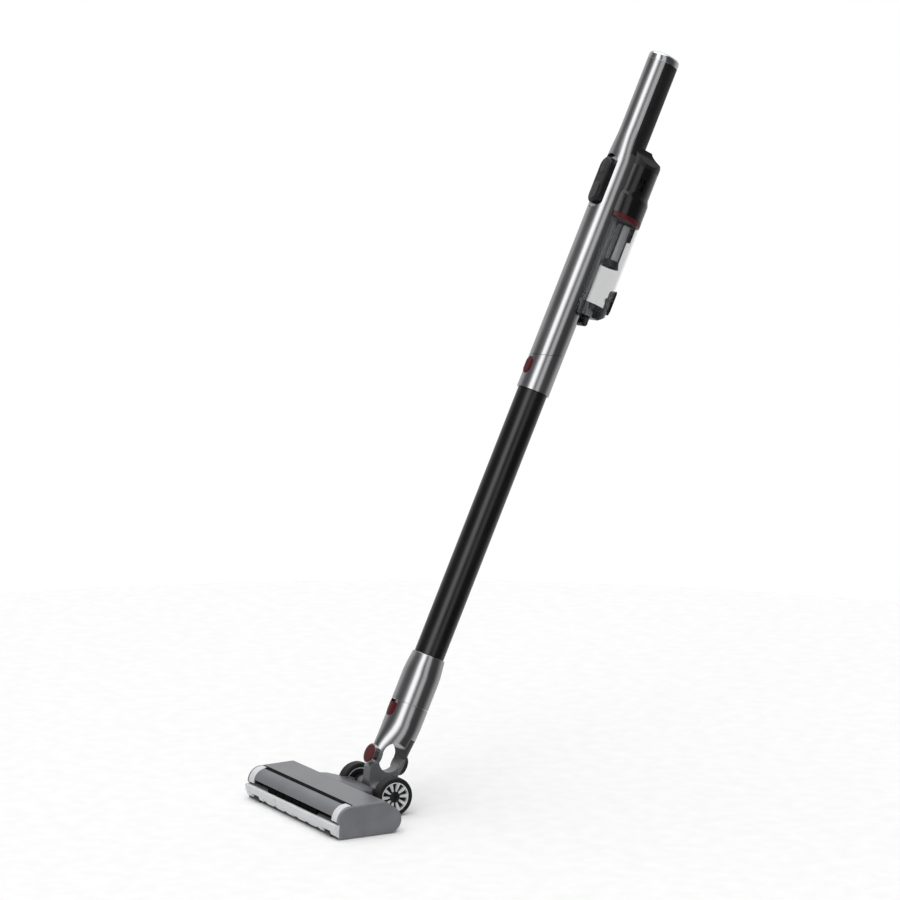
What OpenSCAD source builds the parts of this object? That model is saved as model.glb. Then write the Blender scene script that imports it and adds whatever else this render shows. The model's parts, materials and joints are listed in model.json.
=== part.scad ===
// Cordless stick vacuum: handset with dust cup, extension tube, swivel neck and powered floor head.
// Units are millimetres. The floor is z = 0, the wheel axle runs along x above the origin,
// and -y is the direction in which the head is pushed.

/* [Stick] */
// Angle at which the stick leans back from vertical
lean = 24.7; // [15:0.1:32]
// Distance of the stick axis behind the wheel axle
set_back = 2.8; // [0:0.1:4]
// Outer diameter of the extension tube
tube_d = 38; // [34:0.5:40]
// Length of extension tube that shows between its two sockets
tube_len = 353; // [250:1:450]
// Length of each end plug that goes into a socket
plug_len = 45; // [35:1:50]
// Wall of the extension tube
tube_wall = 1.3; // [1:0.1:2]
// Diameter of the handset pipe
pipe_d = 42; // [40:0.5:46]
// Wall of the handset shells
shell_wall = 1.8; // [1.5:0.1:2.2]

/* [Handset] */
// Width of the handle
grip_w = 34; // [32:0.5:38]
// Depth of the handle from front to back
grip_d = 42; // [41.5:0.5:48]
// Length of the handle below its end cap
grip_len = 118; // [112:1:150]
// Height of the end cap
cap_h = 12; // [8:0.5:16]
// Width of the control panel
panel_w = 24; // [20:0.5:26]
// Length of the control panel
panel_len = 62; // [52:1:72]
// Outer radius of the motor housing
motor_house_r = 28; // [27:0.5:31]
// Height of the motor housing
motor_house_h = 67; // [64:1:80]
// Diameter of the suction motor
motor_d = 25; // [21:0.5:25.2]
// Diameter of a battery cell
cell_d = 18.2; // [18:0.1:18.6]
// Length of a battery cell
cell_len = 65; // [60:0.5:66]

/* [Dust cup] */
// Outer radius of the dust cup
cup_r = 30.5; // [29.5:0.5:34]
// Length of the clear part of the dust cup
cup_len = 113; // [95:1:125]
// Wall of the dust cup
cup_wall = 1.8; // [1.4:0.1:2.4]
// Height of the door at the foot of the cup
door_h = 17; // [14:0.5:20]

/* [Swivel neck] */
// Height of the swivel axis above the wheel axle
swivel_h = 38; // [37:0.5:42]
// Outer radius of the lower connector
conn_r = 23.8; // [23.4:0.1:26]
// Height of the top of the lower connector above the wheel axle
conn_h = 175.6; // [165:0.1:200]
// Radius of the neck barrel that turns on the wheel axle
barrel_r = 11; // [9:0.5:12]
// Diameter of the wheel axle
axle_d = 6; // [5:0.5:7]

/* [Floor head] */
// Width of the floor head
head_w = 250; // [220:1:300]
// Distance from the front lip to the wheel axle
lip_reach = 116; // [112:1:130]
// Depth of the head from the lip to the rear edge
head_depth = 87; // [80:1:90]
// Height of the head
head_h = 40; // [39:0.5:44]
// Radius of the wheels
wheel_r = 24; // [22:0.5:27]
// Width of a wheel
wheel_w = 14; // [10:0.5:18]
// Radius of the brush roll over its bristles
brush_r = 15.3; // [13:0.1:15.6]
// Diameter of the brush motor
brush_motor_d = 24; // [20:0.5:25]

/* [Fits] */
// Radial clearance of a shaft that runs in a bore
run_gap = 0.06; // [0.02:0.01:0.1]
// Gap between bodies that slide or turn past each other
slide_gap = 0.3; // [0.2:0.05:0.5]
// Gap between pieces that are fixed face to face
seat_gap = 0.1; // [0.05:0.05:0.2]

/* [Hidden] */
$fn = 64;

tube_r = tube_d / 2;
plug_r = tube_r - tube_wall;
socket_r = plug_r + slide_gap;
pipe_r = pipe_d / 2;
pipe_in = pipe_r - shell_wall;

// Heights along the stick, measured from the wheel axle
seam_h = 111;
spigot_len = 30;
hand_lo = conn_h + tube_len;
collar_mid = hand_lo + 50.4;
collar_tilt = 18.4;
cup_lo = hand_lo + 128.4;
ring_h = 6;
ring_lo = cup_lo + cup_len;
house_lo = ring_lo + ring_h;
house_hi = house_lo + motor_house_h;
grip_lo = house_hi + 14;
grip_hi = grip_lo + grip_len;
top_h = grip_hi + cap_h;

// Handle with the battery cells in it
grip_shift = 1.5;
grip_split = -1;
blend_lo = house_lo + panel_len + 7;
blend_hi = grip_lo + 18;
grip_wall = 2.2;
dome_r = 82;
cell_gap = 1.2;
cell_pitch = cell_d + 0.2;
cells_lo = house_hi + 3.2;
front_cell_v = 3;

// Button that lets the tube out of the handset
button_h = hand_lo + 28.4;
button_w = 14;
button_len = 22;

// Control panel on the flat of the pipe
flat_v = -(pipe_r - 5.5);
panel_v = -(pipe_r + 2);
panel_mid = house_lo + panel_len / 2;
rocker_w = 13;
rocker_len = 24;
rocker_mid = house_lo + panel_len - 8 - rocker_len / 2;
window_len = 24;
window_mid = house_lo + 4 + window_len / 2;

// Housing, cup and cyclone lie behind the pipe
rear_v = 22.8;
collar_r = cup_r;
collar_h = 23;
pipe_keep = pipe_r + 0.6;
motor_r = motor_d / 2;
motor_v = rear_v + motor_house_r - shell_wall - motor_r - 0.4;
cyclone_v = 36.6;
cyclone_r = 9.8;
cyclone_lo = ring_lo - 50;
inlet_h = ring_lo - 23;
inlet_r = 8.5;
release_h = house_lo + 11;
release_w = 8;
release_len = 14;
charge_h = cup_lo - door_h - 24;
charge_r = 4.5;
socket_len = 12;
jack_r = 2.75;
jack_depth = 9.5;
hinge_v = pipe_r + 7.5;
hinge_h = cup_lo - door_h - 6;
hinge_r = 4.6;
foot_v = hinge_v - 3.3;
pin_r = 1.2;
latch_h = cup_lo + 18;
latch_v = rear_v + cup_r + 2.9;
latch_half = 7;

// Self-tapping screws
screw_r = 1.4;
screw_head_r = 2.6;

// Lower connector and swivel neck
spigot_r = conn_r - 4.3;
head_button_h = seam_h - 11;
head_button_w = 17;
gap_r = 14.5;
gap_v = -2;
gap_h = swivel_h + 9.5;
front_v = -28;
back_v = 21.6;
front_split = -22;
back_split = 17;
front_boss = 12.6;
back_boss = 12.6;
cap_inset = 1.5;
stub_r = 4;
trunnion_r = 9.6;
way_w = 13;
way_d = 1.6;
pocket_r = 22;
barrel_half = 30;

// Floor head, measured back from the lip and up from the floor
half_w = head_w / 2;
sole_z = 0.6;
cap_t = 4;
band_w = 14;
shell_x = half_w - cap_t;
bay_x = shell_x - band_w;
roll_d = 20;
roll_z = 21;
roll_r = head_h - roll_z - 1;
cover_r = roll_r - 1.4;
brush_d = 23;
brush_z = 16.5;
gap_d = 20;
gap_w = 4.5;
split_z = 16;
lip_top = 20;
skin = 2.2;
tub_z = 3.6;
stem_z = 23.2;
screw_x = 32;
screw_d = [50, 72];
ear_x = barrel_half + 0.6;
stem_x = 38;
stem_wide = 58;
wheel_x = stem_x + 2;
wheel_out = wheel_x + wheel_w;
rim_r = wheel_r - 6;
belt_x = bay_x + 3.5;
belt_w = 5;
motor_bay_d = 58;
motor_bay_z = 19.5;
brush_pulley_r = 9;
motor_pulley_r = 4.5;
tooth_pitch = 35;
roller_x = 98;
led_half = 56;
led_pitch = 17;

// Carries a shape from upright stick coordinates to the leaning stick
module stick() translate([0, 0, wheel_r]) rotate([-lean, 0, 0]) translate([0, set_back, 0]) children();

// Carries a shape from coordinates at the front lip to the frame of the part
module head_frame() translate([0, -lip_reach, 0]) children();

// Extrudes a side outline from x0 to x1
module across(x0, x1) translate([x0, 0, 0]) rotate([90, 0, 90]) linear_extrude(x1 - x0) children();

// Extrudes a front outline from y0 to y1
module along(y0, y1) translate([0, y1, 0]) rotate([90, 0, 0]) linear_extrude(y1 - y0) children();

// Tube between two heights
module ring(r_out, r_in, z0, z1) translate([0, 0, z0]) difference() {
    cylinder(r = r_out, h = z1 - z0);
    translate([0, 0, -1]) cylinder(r = r_in, h = z1 - z0 + 2);
}

// Flat shape with two round ends, its length along y
module slot_2d(w, len) {
    for (s = [-1, 1]) translate([0, s * (len - w) / 2]) circle(w / 2);
    square([w, len - w], center = true);
}

// Outline of the handle, grown or shrunk by an even amount
module grip_2d(grow = 0) translate([0, grip_shift]) slot_2d(grip_w + 2 * grow, grip_d + 2 * grow);

// Outline of what lies behind the pipe: a circle that the pipe bites into
module behind_pipe_2d(r, keep) difference() {
    translate([0, rear_v]) circle(r);
    circle(keep);
}

// Pipe that blends into the handle above it
module handle_body(grow = 0) {
    translate([0, 0, hand_lo]) cylinder(r = pipe_r + grow, h = blend_lo - hand_lo);
    hull() {
        translate([0, 0, blend_lo]) linear_extrude(0.01) circle(pipe_r + grow, $fn = 48);
        translate([0, 0, blend_hi]) linear_extrude(0.01) grip_2d(grow);
    }
    translate([0, 0, blend_hi]) linear_extrude(grip_hi - blend_hi) grip_2d(grow);
}

// Everything below the slanted seam of the end collar
module below_collar_seam(gap = 0) translate([0, 0, collar_mid - gap]) rotate([collar_tilt, 0, 0])
    translate([-pipe_d, -pipe_d, -pipe_d * 3]) cube([pipe_d * 2, pipe_d * 2, pipe_d * 3]);

// Side outline of the floor head
module head_outline(inset = 0) offset(delta = -inset) hull() {
    translate([roll_d, roll_z]) circle(roll_r);
    translate([head_depth - 16, sole_z + 16]) circle(16);
    translate([head_depth - 23, head_h - 6]) circle(6);
    translate([3.2, sole_z]) square([60, 1]);
}

// ---- Handset ----

module main_shell() color("silver") stick() difference() {
    handle_body();
    below_collar_seam();
    // Bore, narrower behind the control panel
    translate([0, 0, hand_lo - 1]) cylinder(r = pipe_in, h = house_lo - 8 - hand_lo);
    intersection() {
        translate([0, 0, house_lo - 10]) cylinder(r = pipe_in, h = blend_lo + 1 - house_lo + 10);
        translate([-pipe_r, flat_v + 2, house_lo - 10]) cube([pipe_d, pipe_d, panel_len + 30]);
    }
    hull() {
        translate([0, 0, blend_lo + 0.5]) linear_extrude(0.01) circle(pipe_in, $fn = 48);
        translate([0, 0, blend_hi]) linear_extrude(0.01) grip_2d(-grip_wall);
    }
    translate([0, 0, blend_hi - 0.5]) linear_extrude(grip_len) grip_2d(-grip_wall);
    // Flat with round ends that carries the control panel
    translate([0, 0, panel_mid]) along(-pipe_d, flat_v) slot_2d(panel_w + 8, panel_len + 11);
    // Rear of the handle is left to the grip
    translate([-pipe_d, grip_split, grip_lo]) cube([pipe_d * 2, pipe_d, grip_len + 40]);
    // Way for the rear battery cells through the pipe
    translate([-cell_d / 2 - 1, 12, house_hi - 6]) cube([cell_d + 2, pipe_r, 40]);
    // Air port to the dust cup and opening for the charging socket
    translate([0, 0, inlet_h]) along(0, pipe_d) circle(inlet_r + 0.5);
    translate([-pipe_d, 0, charge_h]) rotate([0, 90, 0]) cylinder(r = charge_r + seat_gap, h = pipe_d);
}

module pipe_end_collar() color("silver") stick() difference() {
    intersection() {
        ring(pipe_r, socket_r, hand_lo, collar_mid + 20);
        below_collar_seam(seat_gap);
    }
    translate([0, 0, button_h]) along(-pipe_d, 0) slot_2d(button_w + 2 * slide_gap, button_len + 2 * slide_gap);
}

module wand_release_button() color("darkred") stick() translate([0, 0, button_h]) difference() {
    intersection() {
        along(-pipe_r - 0.9, -plug_r - 0.6) slot_2d(button_w, button_len);
        cylinder(r = pipe_r + 0.7, h = button_len, center = true);
    }
    along(-plug_r - 1.5, -plug_r) circle(3.4);
}

module wand_release_spring() color("gray") stick() translate([0, 0, button_h])
    along(-plug_r - 1.4, -plug_r + 1) difference() { circle(3); circle(2.4); }

module rear_grip() color("#1a1a1a") stick() difference() {
    union() {
        intersection() {
            handle_body();
            translate([-pipe_d, grip_split + seat_gap, grip_lo]) cube([pipe_d * 2, pipe_d, grip_len]);
        }
        // Finger stop
        intersection() {
            translate([0, grip_shift + grip_d / 2 - 2.5, grip_lo + 17]) rotate([0, 90, 0])
                cylinder(r = 4.2, h = grip_w, center = true);
            translate([0, 0, grip_lo]) linear_extrude(40) grip_2d(1.8);
        }
    }
    hull() {
        translate([0, 0, grip_lo - 1]) linear_extrude(0.01) grip_2d(-grip_wall);
        translate([0, 0, grip_hi + 1]) linear_extrude(0.01) grip_2d(-grip_wall);
    }
}

module handle_end_cap() color("#e8e8ea") stick() difference() {
    union() {
        intersection() {
            translate([0, 0, grip_hi + seat_gap]) linear_extrude(cap_h) grip_2d(0);
            translate([0, grip_shift, top_h - dome_r]) sphere(r = dome_r, $fn = 96);
        }
        translate([0, 0, grip_hi - 5]) linear_extrude(6) grip_2d(-grip_wall - seat_gap);
    }
    translate([0, 0, grip_hi - 6]) {
        linear_extrude(10) grip_2d(-grip_wall - 1.2);
        for (s = [-1, 1]) translate([0, grip_shift + s * cell_pitch / 2, 0]) cylinder(r = cell_d / 2 + 0.2, h = 9);
    }
}

module panel_2d(grow = 0) slot_2d(panel_w + 2 * grow, panel_len + 2 * grow);

module rocker_2d(grow = 0) translate([0, rocker_mid - panel_mid]) slot_2d(rocker_w + 2 * grow, rocker_len + 2 * grow);

module window_2d(grow = 0) translate([0, window_mid - panel_mid]) slot_2d(panel_w - 8 + 2 * grow, window_len + 2 * grow);

module control_panel() color("#141414") stick() translate([0, 0, panel_mid]) difference() {
    along(panel_v, flat_v - seat_gap) panel_2d();
    along(panel_v - 1, flat_v) rocker_2d(slide_gap);
    along(flat_v - 2.6, flat_v) slot_2d(panel_w - 4, panel_len - 4);
    along(panel_v - 1, panel_v + 1.2) window_2d(seat_gap);
}

module control_board() color("darkgreen") stick() translate([0, 0, panel_mid])
    along(flat_v - 1.8, flat_v - 0.3) slot_2d(panel_w - 5, panel_len - 5);

module display_window() color("#202124") stick() translate([0, 0, panel_mid])
    along(panel_v - 0.2, panel_v + 1.1) window_2d();

// One half of the two-way rocker, upper or lower
module rocker_half(side) stick() translate([0, 0, panel_mid]) intersection() {
    along(panel_v - 0.7, flat_v - 3) rocker_2d();
    translate([-panel_w, -pipe_d, rocker_mid - panel_mid + (side > 0 ? slide_gap / 2 : -panel_len - slide_gap / 2)])
        cube([panel_w * 2, pipe_d, panel_len]);
}

module power_button() color("#2c2d30") rocker_half(1);
module mode_button() color("#2c2d30") rocker_half(-1);

// Vent slots on both sides and at the back of the motor housing
module vents() for (a = [-8, 2, 82, 98, 178, 188], row = [0, 1])
    translate([0, rear_v, house_lo + 35 + 9 * row]) rotate([0, 0, a])
        translate([motor_house_r - 4, -1.1, 0]) cube([6, 2.2, 6.5]);

module motor_housing() color("#161616") stick() difference() {
    union() {
        translate([0, 0, house_lo]) linear_extrude(collar_h) behind_pipe_2d(collar_r, pipe_r + seat_gap);
        translate([0, rear_v, house_lo + collar_h]) cylinder(r1 = collar_r, r2 = motor_house_r, h = 8);
        translate([0, rear_v, house_lo + collar_h + 8]) cylinder(r = motor_house_r, h = motor_house_h - collar_h - 10);
    }
    translate([0, 0, house_lo - 1]) cylinder(r = pipe_r + seat_gap, h = motor_house_h + 2);
    translate([0, 0, house_lo - 1]) linear_extrude(collar_h + 4)
        behind_pipe_2d(collar_r - shell_wall, pipe_r + shell_wall);
    translate([0, 0, house_lo + collar_h]) linear_extrude(motor_house_h)
        behind_pipe_2d(motor_house_r - shell_wall, pipe_r + shell_wall);
    vents();
    translate([-collar_r - 5, rear_v, release_h]) rotate([0, 90, 0])
        linear_extrude(10) slot_2d(release_w + 2 * slide_gap, release_len + 2 * slide_gap);
}

module cup_release_button() color("#2c2d30") stick()
    translate([-collar_r - 0.6, rear_v, release_h]) rotate([0, 90, 0])
        linear_extrude(3.2) slot_2d(release_w, release_len);

module shoulder_shape(inset) intersection() {
    translate([0, rear_v, house_hi - 2 + seat_gap]) cylinder(r = motor_house_r - inset, h = 40);
    translate([0, 0, house_hi]) across(-40, 40) polygon([
        [0, -3 - inset], [54 - inset, -3 - inset], [54 - inset, 1 - inset], [51, 4 - inset],
        [46, 6.5 - inset], [31, 13.8 - inset], [27 - inset, 16.6 - inset], [25 - inset, 20 - inset],
        [0, 20 - inset]]);
    translate([0, 0, house_hi]) along(-10, 80) polygon([
        [-30, -3], [30, -3], [27.5 - inset, 3], [20.5 - inset, 12], [17.4 - inset, 20],
        [-17.4 + inset, 20], [-20.5 + inset, 12], [-27.5 + inset, 3]]);
}

module housing_top_cover() color("#2b2b2c") stick() difference() {
    shoulder_shape(0);
    handle_body(seat_gap);
    difference() {
        translate([0, 0, -0.01]) shoulder_shape(shell_wall);
        translate([0, 0, hand_lo]) cylinder(r = pipe_r + 1.2, h = house_hi + 30 - hand_lo);
    }
}

module suction_motor() color("#9a9a9c") stick() translate([0, motor_v, 0]) difference() {
    union() {
        translate([0, 0, house_lo + 24]) cylinder(r = motor_r, h = 36);
        translate([0, 0, house_lo + 12.5]) cylinder(r = motor_r, h = 12);
    }
    translate([0, 0, house_lo + 12]) cylinder(r = motor_r - 0.9, h = 11);
    translate([0, 0, house_lo + 20]) cylinder(r = 2 + run_gap, h = 38);
}

module impeller() color("#3a3a3c") stick() translate([0, motor_v, 0]) {
    translate([0, 0, house_lo + 14]) cylinder(r = 2, h = 42);
    translate([0, 0, house_lo + 14]) cylinder(r = 4, h = 8);
    translate([0, 0, house_lo + 20.5]) cylinder(r = motor_r - 1.4, h = 1.2);
    for (a = [0:45:315]) rotate([0, 0, a])
        translate([3, -0.5, house_lo + 14.5]) cube([motor_r - 4.9, 1, 6.5]);
}

module premotor_filter() color("#e9e6dc") stick() translate([0, 0, house_lo + 1.5])
    linear_extrude(8) behind_pipe_2d(motor_house_r - shell_wall - 1.6, pipe_r + shell_wall + 0.4);

module battery_cells() color("#3f6f8f") stick() {
    for (s = [-1, 1], row = [0, 1])
        translate([0, grip_shift + s * cell_pitch / 2, cells_lo + row * (cell_len + cell_gap)])
            cylinder(r = cell_d / 2, h = cell_len);
    translate([0, front_cell_v, cells_lo - cell_gap - 2 - cell_len]) cylinder(r = cell_d / 2, h = cell_len);
}

module battery_holder() color("#d9d9d2") stick() difference() {
    union() {
        for (row = [0, 1]) translate([0, 0, cells_lo - cell_gap + row * (cell_len + cell_gap)])
            linear_extrude(cell_gap - 0.05) grip_2d(-grip_wall - 2.2);
        for (s = [-1, 1]) translate([s * (cell_d / 2 + 0.6) - 1.8, grip_shift - 2, cells_lo - cell_gap])
            cube([3.6, 4, 2 * cell_len + cell_gap]);
    }
    translate([0, 0, cells_lo - 5]) linear_extrude(400) difference() {
        square(200, center = true);
        grip_2d(-grip_wall - 0.3);
    }
    translate([-pipe_r, -pipe_d + flat_v + 2.4, house_lo]) cube([pipe_d, pipe_d, blend_lo + 1 - house_lo]);
}

module charge_socket() color("#101010") stick() translate([0, 0, charge_h]) rotate([0, -90, 0]) difference() {
    translate([0, 0, pipe_r - socket_len]) cylinder(r = charge_r, h = socket_len);
    translate([0, 0, pipe_r - jack_depth]) cylinder(r = jack_r, h = jack_depth + 1);
}

module inlet_duct() color("#222222") stick() difference() {
    intersection() {
        union() {
            translate([0, 0, inlet_h - 12]) cylinder(r = pipe_in - seat_gap, h = 24);
            translate([0, 0, inlet_h]) along(0, pipe_r + 1) circle(inlet_r + 0.4);
        }
        translate([0, 0, inlet_h - 14]) cylinder(r = pipe_r - seat_gap, h = 28);
    }
    translate([0, 0, inlet_h - 13]) cylinder(r = pipe_in - 4, h = 22);
    translate([0, 0, inlet_h]) along(0, pipe_r) circle(inlet_r - 0.8);
}

// Cross-head screw pointing down from the origin
module screw(len) difference() {
    union() {
        cylinder(r = screw_head_r, h = 1.6);
        translate([0, 0, -len]) cylinder(r = screw_r, h = len + 0.5);
    }
    for (a = [0, 90]) rotate([0, 0, a]) translate([-1.6, -0.3, 0.9]) cube([3.2, 0.6, 1]);
}

module housing_screws() color("#5a5a5c") stick()
    for (s = [-1, 1]) translate([s * 8, motor_v + motor_r - 4, house_lo + 61]) screw(0.6);

// ---- Dust cup ----

module cup_shell() color("#d7dadd", 0.35) stick() {
    difference() {
        translate([0, 0, cup_lo]) linear_extrude(cup_len) behind_pipe_2d(cup_r, pipe_keep);
        translate([0, 0, cup_lo - 1]) linear_extrude(cup_len + 2)
            behind_pipe_2d(cup_r - cup_wall, pipe_keep + cup_wall);
        translate([0, 0, inlet_h]) along(0, 30) circle(inlet_r);
    }
    // Fixed front of the foot, with a floor over it
    intersection() {
        difference() {
            translate([0, 0, cup_lo - door_h]) linear_extrude(door_h + cup_wall) behind_pipe_2d(cup_r, pipe_keep);
            translate([0, 0, cup_lo - door_h - 1]) linear_extrude(door_h + 1) intersection() {
                behind_pipe_2d(cup_r - cup_wall, pipe_keep + cup_wall);
                translate([-cup_r, foot_v - 2.6 - cup_r]) square([2 * cup_r, cup_r]);
            }
        }
        translate([-cup_r, -cup_r, hinge_h]) cube([2 * cup_r, cup_r + foot_v, 2 * door_h]);
    }
    // Hinge lug under the foot
    across(-3, 3) difference() {
        union() {
            translate([hinge_v, hinge_h]) circle(hinge_r - 0.1);
            translate([pipe_keep + 0.2, hinge_h - 2]) square([hinge_v - pipe_keep - 2, 5]);
            translate([pipe_keep + 0.2, hinge_h]) square([2.4, cup_lo - hinge_h - 2]);
        }
        translate([hinge_v, hinge_h]) circle(pin_r);
    }
    // Ears of the latch pivot at the back
    for (s = [-1, 1]) difference() {
        translate([s * (latch_half + 1.5) - 1, rear_v + cup_r - 2.2, latch_h - 2.4]) cube([2, 6.2, 4.8]);
        translate([-12, latch_v, latch_h]) rotate([0, 90, 0]) cylinder(r = pin_r, h = 24);
    }
}

module cup_seal_ring() color("#7a2a30") stick() translate([0, 0, ring_lo + seat_gap]) linear_extrude(ring_h - 2 * seat_gap)
    difference() {
        behind_pipe_2d(cup_r, pipe_keep);
        translate([0, cyclone_v]) circle(cyclone_r - 1);
    }

module cyclone_mesh() color("#c9cacb") stick()
    translate([0, cyclone_v, 0]) ring(cyclone_r - 1, cyclone_r - 1.6, cyclone_lo + 1, ring_lo - 2.2);

module cyclone_frame() color("#141414") stick() {
    translate([0, cyclone_v, 0]) {
        ring(cyclone_r + 2.4, cyclone_r - 2, ring_lo - 2.1, ring_lo);
        for (a = [45:90:315]) rotate([0, 0, a])
            translate([cyclone_r - 0.9, -1.2, cyclone_lo]) cube([1.4, 2.4, ring_lo - cyclone_lo - 1]);
        // Skirt with a closed floor
        difference() {
            translate([0, 0, cyclone_lo - 7]) cylinder(r1 = cyclone_r + 3, r2 = cyclone_r + 0.6, h = 8);
            translate([0, 0, cyclone_lo]) cylinder(r = cyclone_r - 0.9, h = 2);
            translate([0, 0, cyclone_lo - 8]) cylinder(r1 = cyclone_r + 2.4, r2 = cyclone_r - 1.5, h = 7);
        }
    }
    // Guide block behind the mesh
    translate([-5, cyclone_v + cyclone_r + 1, ring_lo - 19]) cube([10, 3.2, 18.5]);
    translate([-5, cyclone_v + cyclone_r - 1, ring_lo - 2.1]) cube([10, 4, 2]);
}

module hinge_pins() color("#b8b8ba") stick() {
    translate([-9, hinge_v, hinge_h]) rotate([0, 90, 0]) cylinder(r = pin_r, h = 18);
    translate([-latch_half - 2.5, latch_v, latch_h]) rotate([0, 90, 0]) cylinder(r = pin_r, h = 2 * latch_half + 5);
}

// Side outline of the door, deep at the hinge and shallow at the back
module door_side_2d(inset = 0) polygon([
    [foot_v + slide_gap + inset, cup_lo + inset], [60, cup_lo + inset], [60, cup_lo - 3.5 + inset],
    [rear_v + cup_r - 1, cup_lo - 4 + inset], [rear_v + cup_r - 8, cup_lo - 9 + inset],
    [hinge_v + 4, cup_lo - door_h + inset], [foot_v + slide_gap + inset, cup_lo - door_h + inset]]);

module cup_door() color("#232426", 0.8) stick() difference() {
    union() {
        difference() {
            intersection() {
                translate([0, 0, cup_lo - door_h - 1]) linear_extrude(door_h + 1 - slide_gap)
                    behind_pipe_2d(cup_r, pipe_r);
                across(-40, 40) door_side_2d();
            }
            intersection() {
                translate([0, 0, cup_lo - door_h]) linear_extrude(door_h + 5)
                    behind_pipe_2d(cup_r - cup_wall, pipe_r);
                across(-40, 40) door_side_2d(2);
            }
        }
        for (s = [-1, 1]) translate([s * 6.2 - 2.8, 0, 0]) {
            translate([0, hinge_v, hinge_h]) rotate([0, 90, 0]) cylinder(r = hinge_r - 0.1, h = 5.6);
            translate([0, foot_v + slide_gap, hinge_h]) cube([5.6, 2 * hinge_r - 2, 8]);
        }
        // Lip that the latch hooks under
        translate([-4, rear_v + cup_r - 2, cup_lo - 3.4]) cube([8, 2.9, 1.6]);
    }
    translate([-3.4, 0, hinge_h - 5]) cube([6.8, hinge_v + 5.2, 10.4]);
    translate([-12, hinge_v, hinge_h]) rotate([0, 90, 0]) cylinder(r = pin_r + run_gap, h = 24);
}

module door_seal() color("#2a2a2a") stick() intersection() {
    translate([0, 0, cup_lo - 1.2]) linear_extrude(1) difference() {
        behind_pipe_2d(cup_r - cup_wall - 0.15, pipe_r);
        behind_pipe_2d(cup_r - cup_wall - 1.6, pipe_r);
    }
    translate([-60, foot_v + 3, 0]) cube([120, 60, top_h]);
}

module door_latch() color("#121212") stick() difference() {
    translate([0, 0, cup_lo]) across(-latch_half, latch_half) polygon([
        [latch_v - 0.4, 29], [latch_v + 1.2, 31], [latch_v + 2.4, 28], [latch_v + 2.4, 4],
        [latch_v + 1.4, -1.4], [latch_v - 1.2, -1.4], [latch_v - 1.2, 13], [latch_v - 2, 14],
        [latch_v - 2, 20], [latch_v - 0.4, 21]]);
    translate([-10, latch_v, latch_h]) rotate([0, 90, 0]) cylinder(r = pin_r + run_gap, h = 20);
}

// ---- Extension tube ----

module wand_tube() color("#0e0e10") stick() ring(tube_r, plug_r, conn_h + seat_gap, hand_lo - slide_gap);

module wand_upper_plug() color("#1c1c1e") stick() difference() {
    ring(plug_r, plug_r - 2.2, hand_lo - 30, hand_lo + plug_len);
    translate([-button_w / 2 - 1, -plug_r - 1, button_h - button_len / 2 - 2])
        cube([button_w + 2, 2.9, plug_len]);
}

module wand_lower_plug() color("#1c1c1e") stick()
    ring(plug_r, plug_r - 2.2, conn_h - 32, conn_h + 30);

// ---- Lower connector and swivel neck ----

module connector_sleeve() color("silver") stick() rotate_extrude() polygon([
    [plug_r, conn_h - 32.5], [plug_r, conn_h], [conn_r - 2.8, conn_h], [conn_r - 1.8, conn_h - 8.6],
    [conn_r - 1, conn_h - 14.6], [conn_r - 0.35, conn_h - 20.6], [conn_r, conn_h - 26],
    [conn_r, seam_h + slide_gap], [spigot_r + slide_gap, seam_h + slide_gap],
    [spigot_r + slide_gap, conn_h - 32.5]]);

// Side view of the space between the arms: round at the top, open below
module fork_gap_2d() {
    translate([gap_v, gap_h]) circle(gap_r);
    translate([gap_v - gap_r, gap_h - 60]) square([2 * gap_r, 60]);
}

module fork_outer() {
    intersection() {
        rotate_extrude() polygon([
            [0, 20], [27, 20], [27, 50], [25, 62], [conn_r, 76], [conn_r, seam_h], [0, seam_h]]);
        across(-40, 40) polygon([
            [-conn_r, seam_h], [-conn_r, 76], [-24.6, 62], [-24.6, 20],
            [back_v, 20], [back_v, 62], [conn_r, 84], [conn_r, seam_h]]);
        along(-40, 40) {
            polygon([[-conn_r, seam_h], [-conn_r, 88], [-front_boss - 4, 60], [-front_boss, swivel_h],
                [front_boss, swivel_h], [front_boss + 4, 60], [conn_r, 88], [conn_r, seam_h]]);
            translate([0, swivel_h]) circle(front_boss);
        }
    }
    translate([0, 0, swivel_h]) {
        along(front_v, front_split - slide_gap) circle(front_boss);
        along(back_split + slide_gap, back_v) circle(back_boss);
    }
    ring(spigot_r, spigot_r - 1.8, seam_h - 1, seam_h + spigot_len);
}

module connector_fork() color("silver") stick() difference() {
    fork_outer();
    across(-40, 40) fork_gap_2d();
    ring(spigot_r - 1.8, 0, 84, seam_h + spigot_len + 1);
    // Room for the bosses of the neck, its stub and trunnion, and the caps
    translate([0, 0, swivel_h]) {
        along(front_split - slide_gap, 0) circle(front_boss + slide_gap);
        along(-40, 0) circle(stub_r + run_gap);
        along(-40, front_v + 2) circle(front_boss - cap_inset + seat_gap);
        along(0, back_split + slide_gap) circle(back_boss + slide_gap);
        along(0, 40) circle(trunnion_r + run_gap);
        along(back_v - 1.5, 40) circle(back_boss - cap_inset + seat_gap);
    }
    // Air way down the rear arm to the hollow trunnion
    translate([-way_w / 2, gap_v + gap_r + 1.3, swivel_h + back_boss + 2]) cube([way_w, 6.2, 84 - swivel_h - back_boss]);
    translate([-way_w / 2, back_split + slide_gap, swivel_h]) cube([way_w, way_d, back_boss + 6]);
    translate([0, 0, head_button_h]) along(-conn_r - 5, -spigot_r + 0.7) head_button_2d(slide_gap);
}

// Shield with a flat top and a round foot
module head_button_2d(grow = 0) {
    translate([0, -1.6]) circle(head_button_w / 2 + grow);
    translate([-head_button_w / 2 - grow, -1.6]) square([head_button_w + 2 * grow, 9 + grow]);
}

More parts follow.
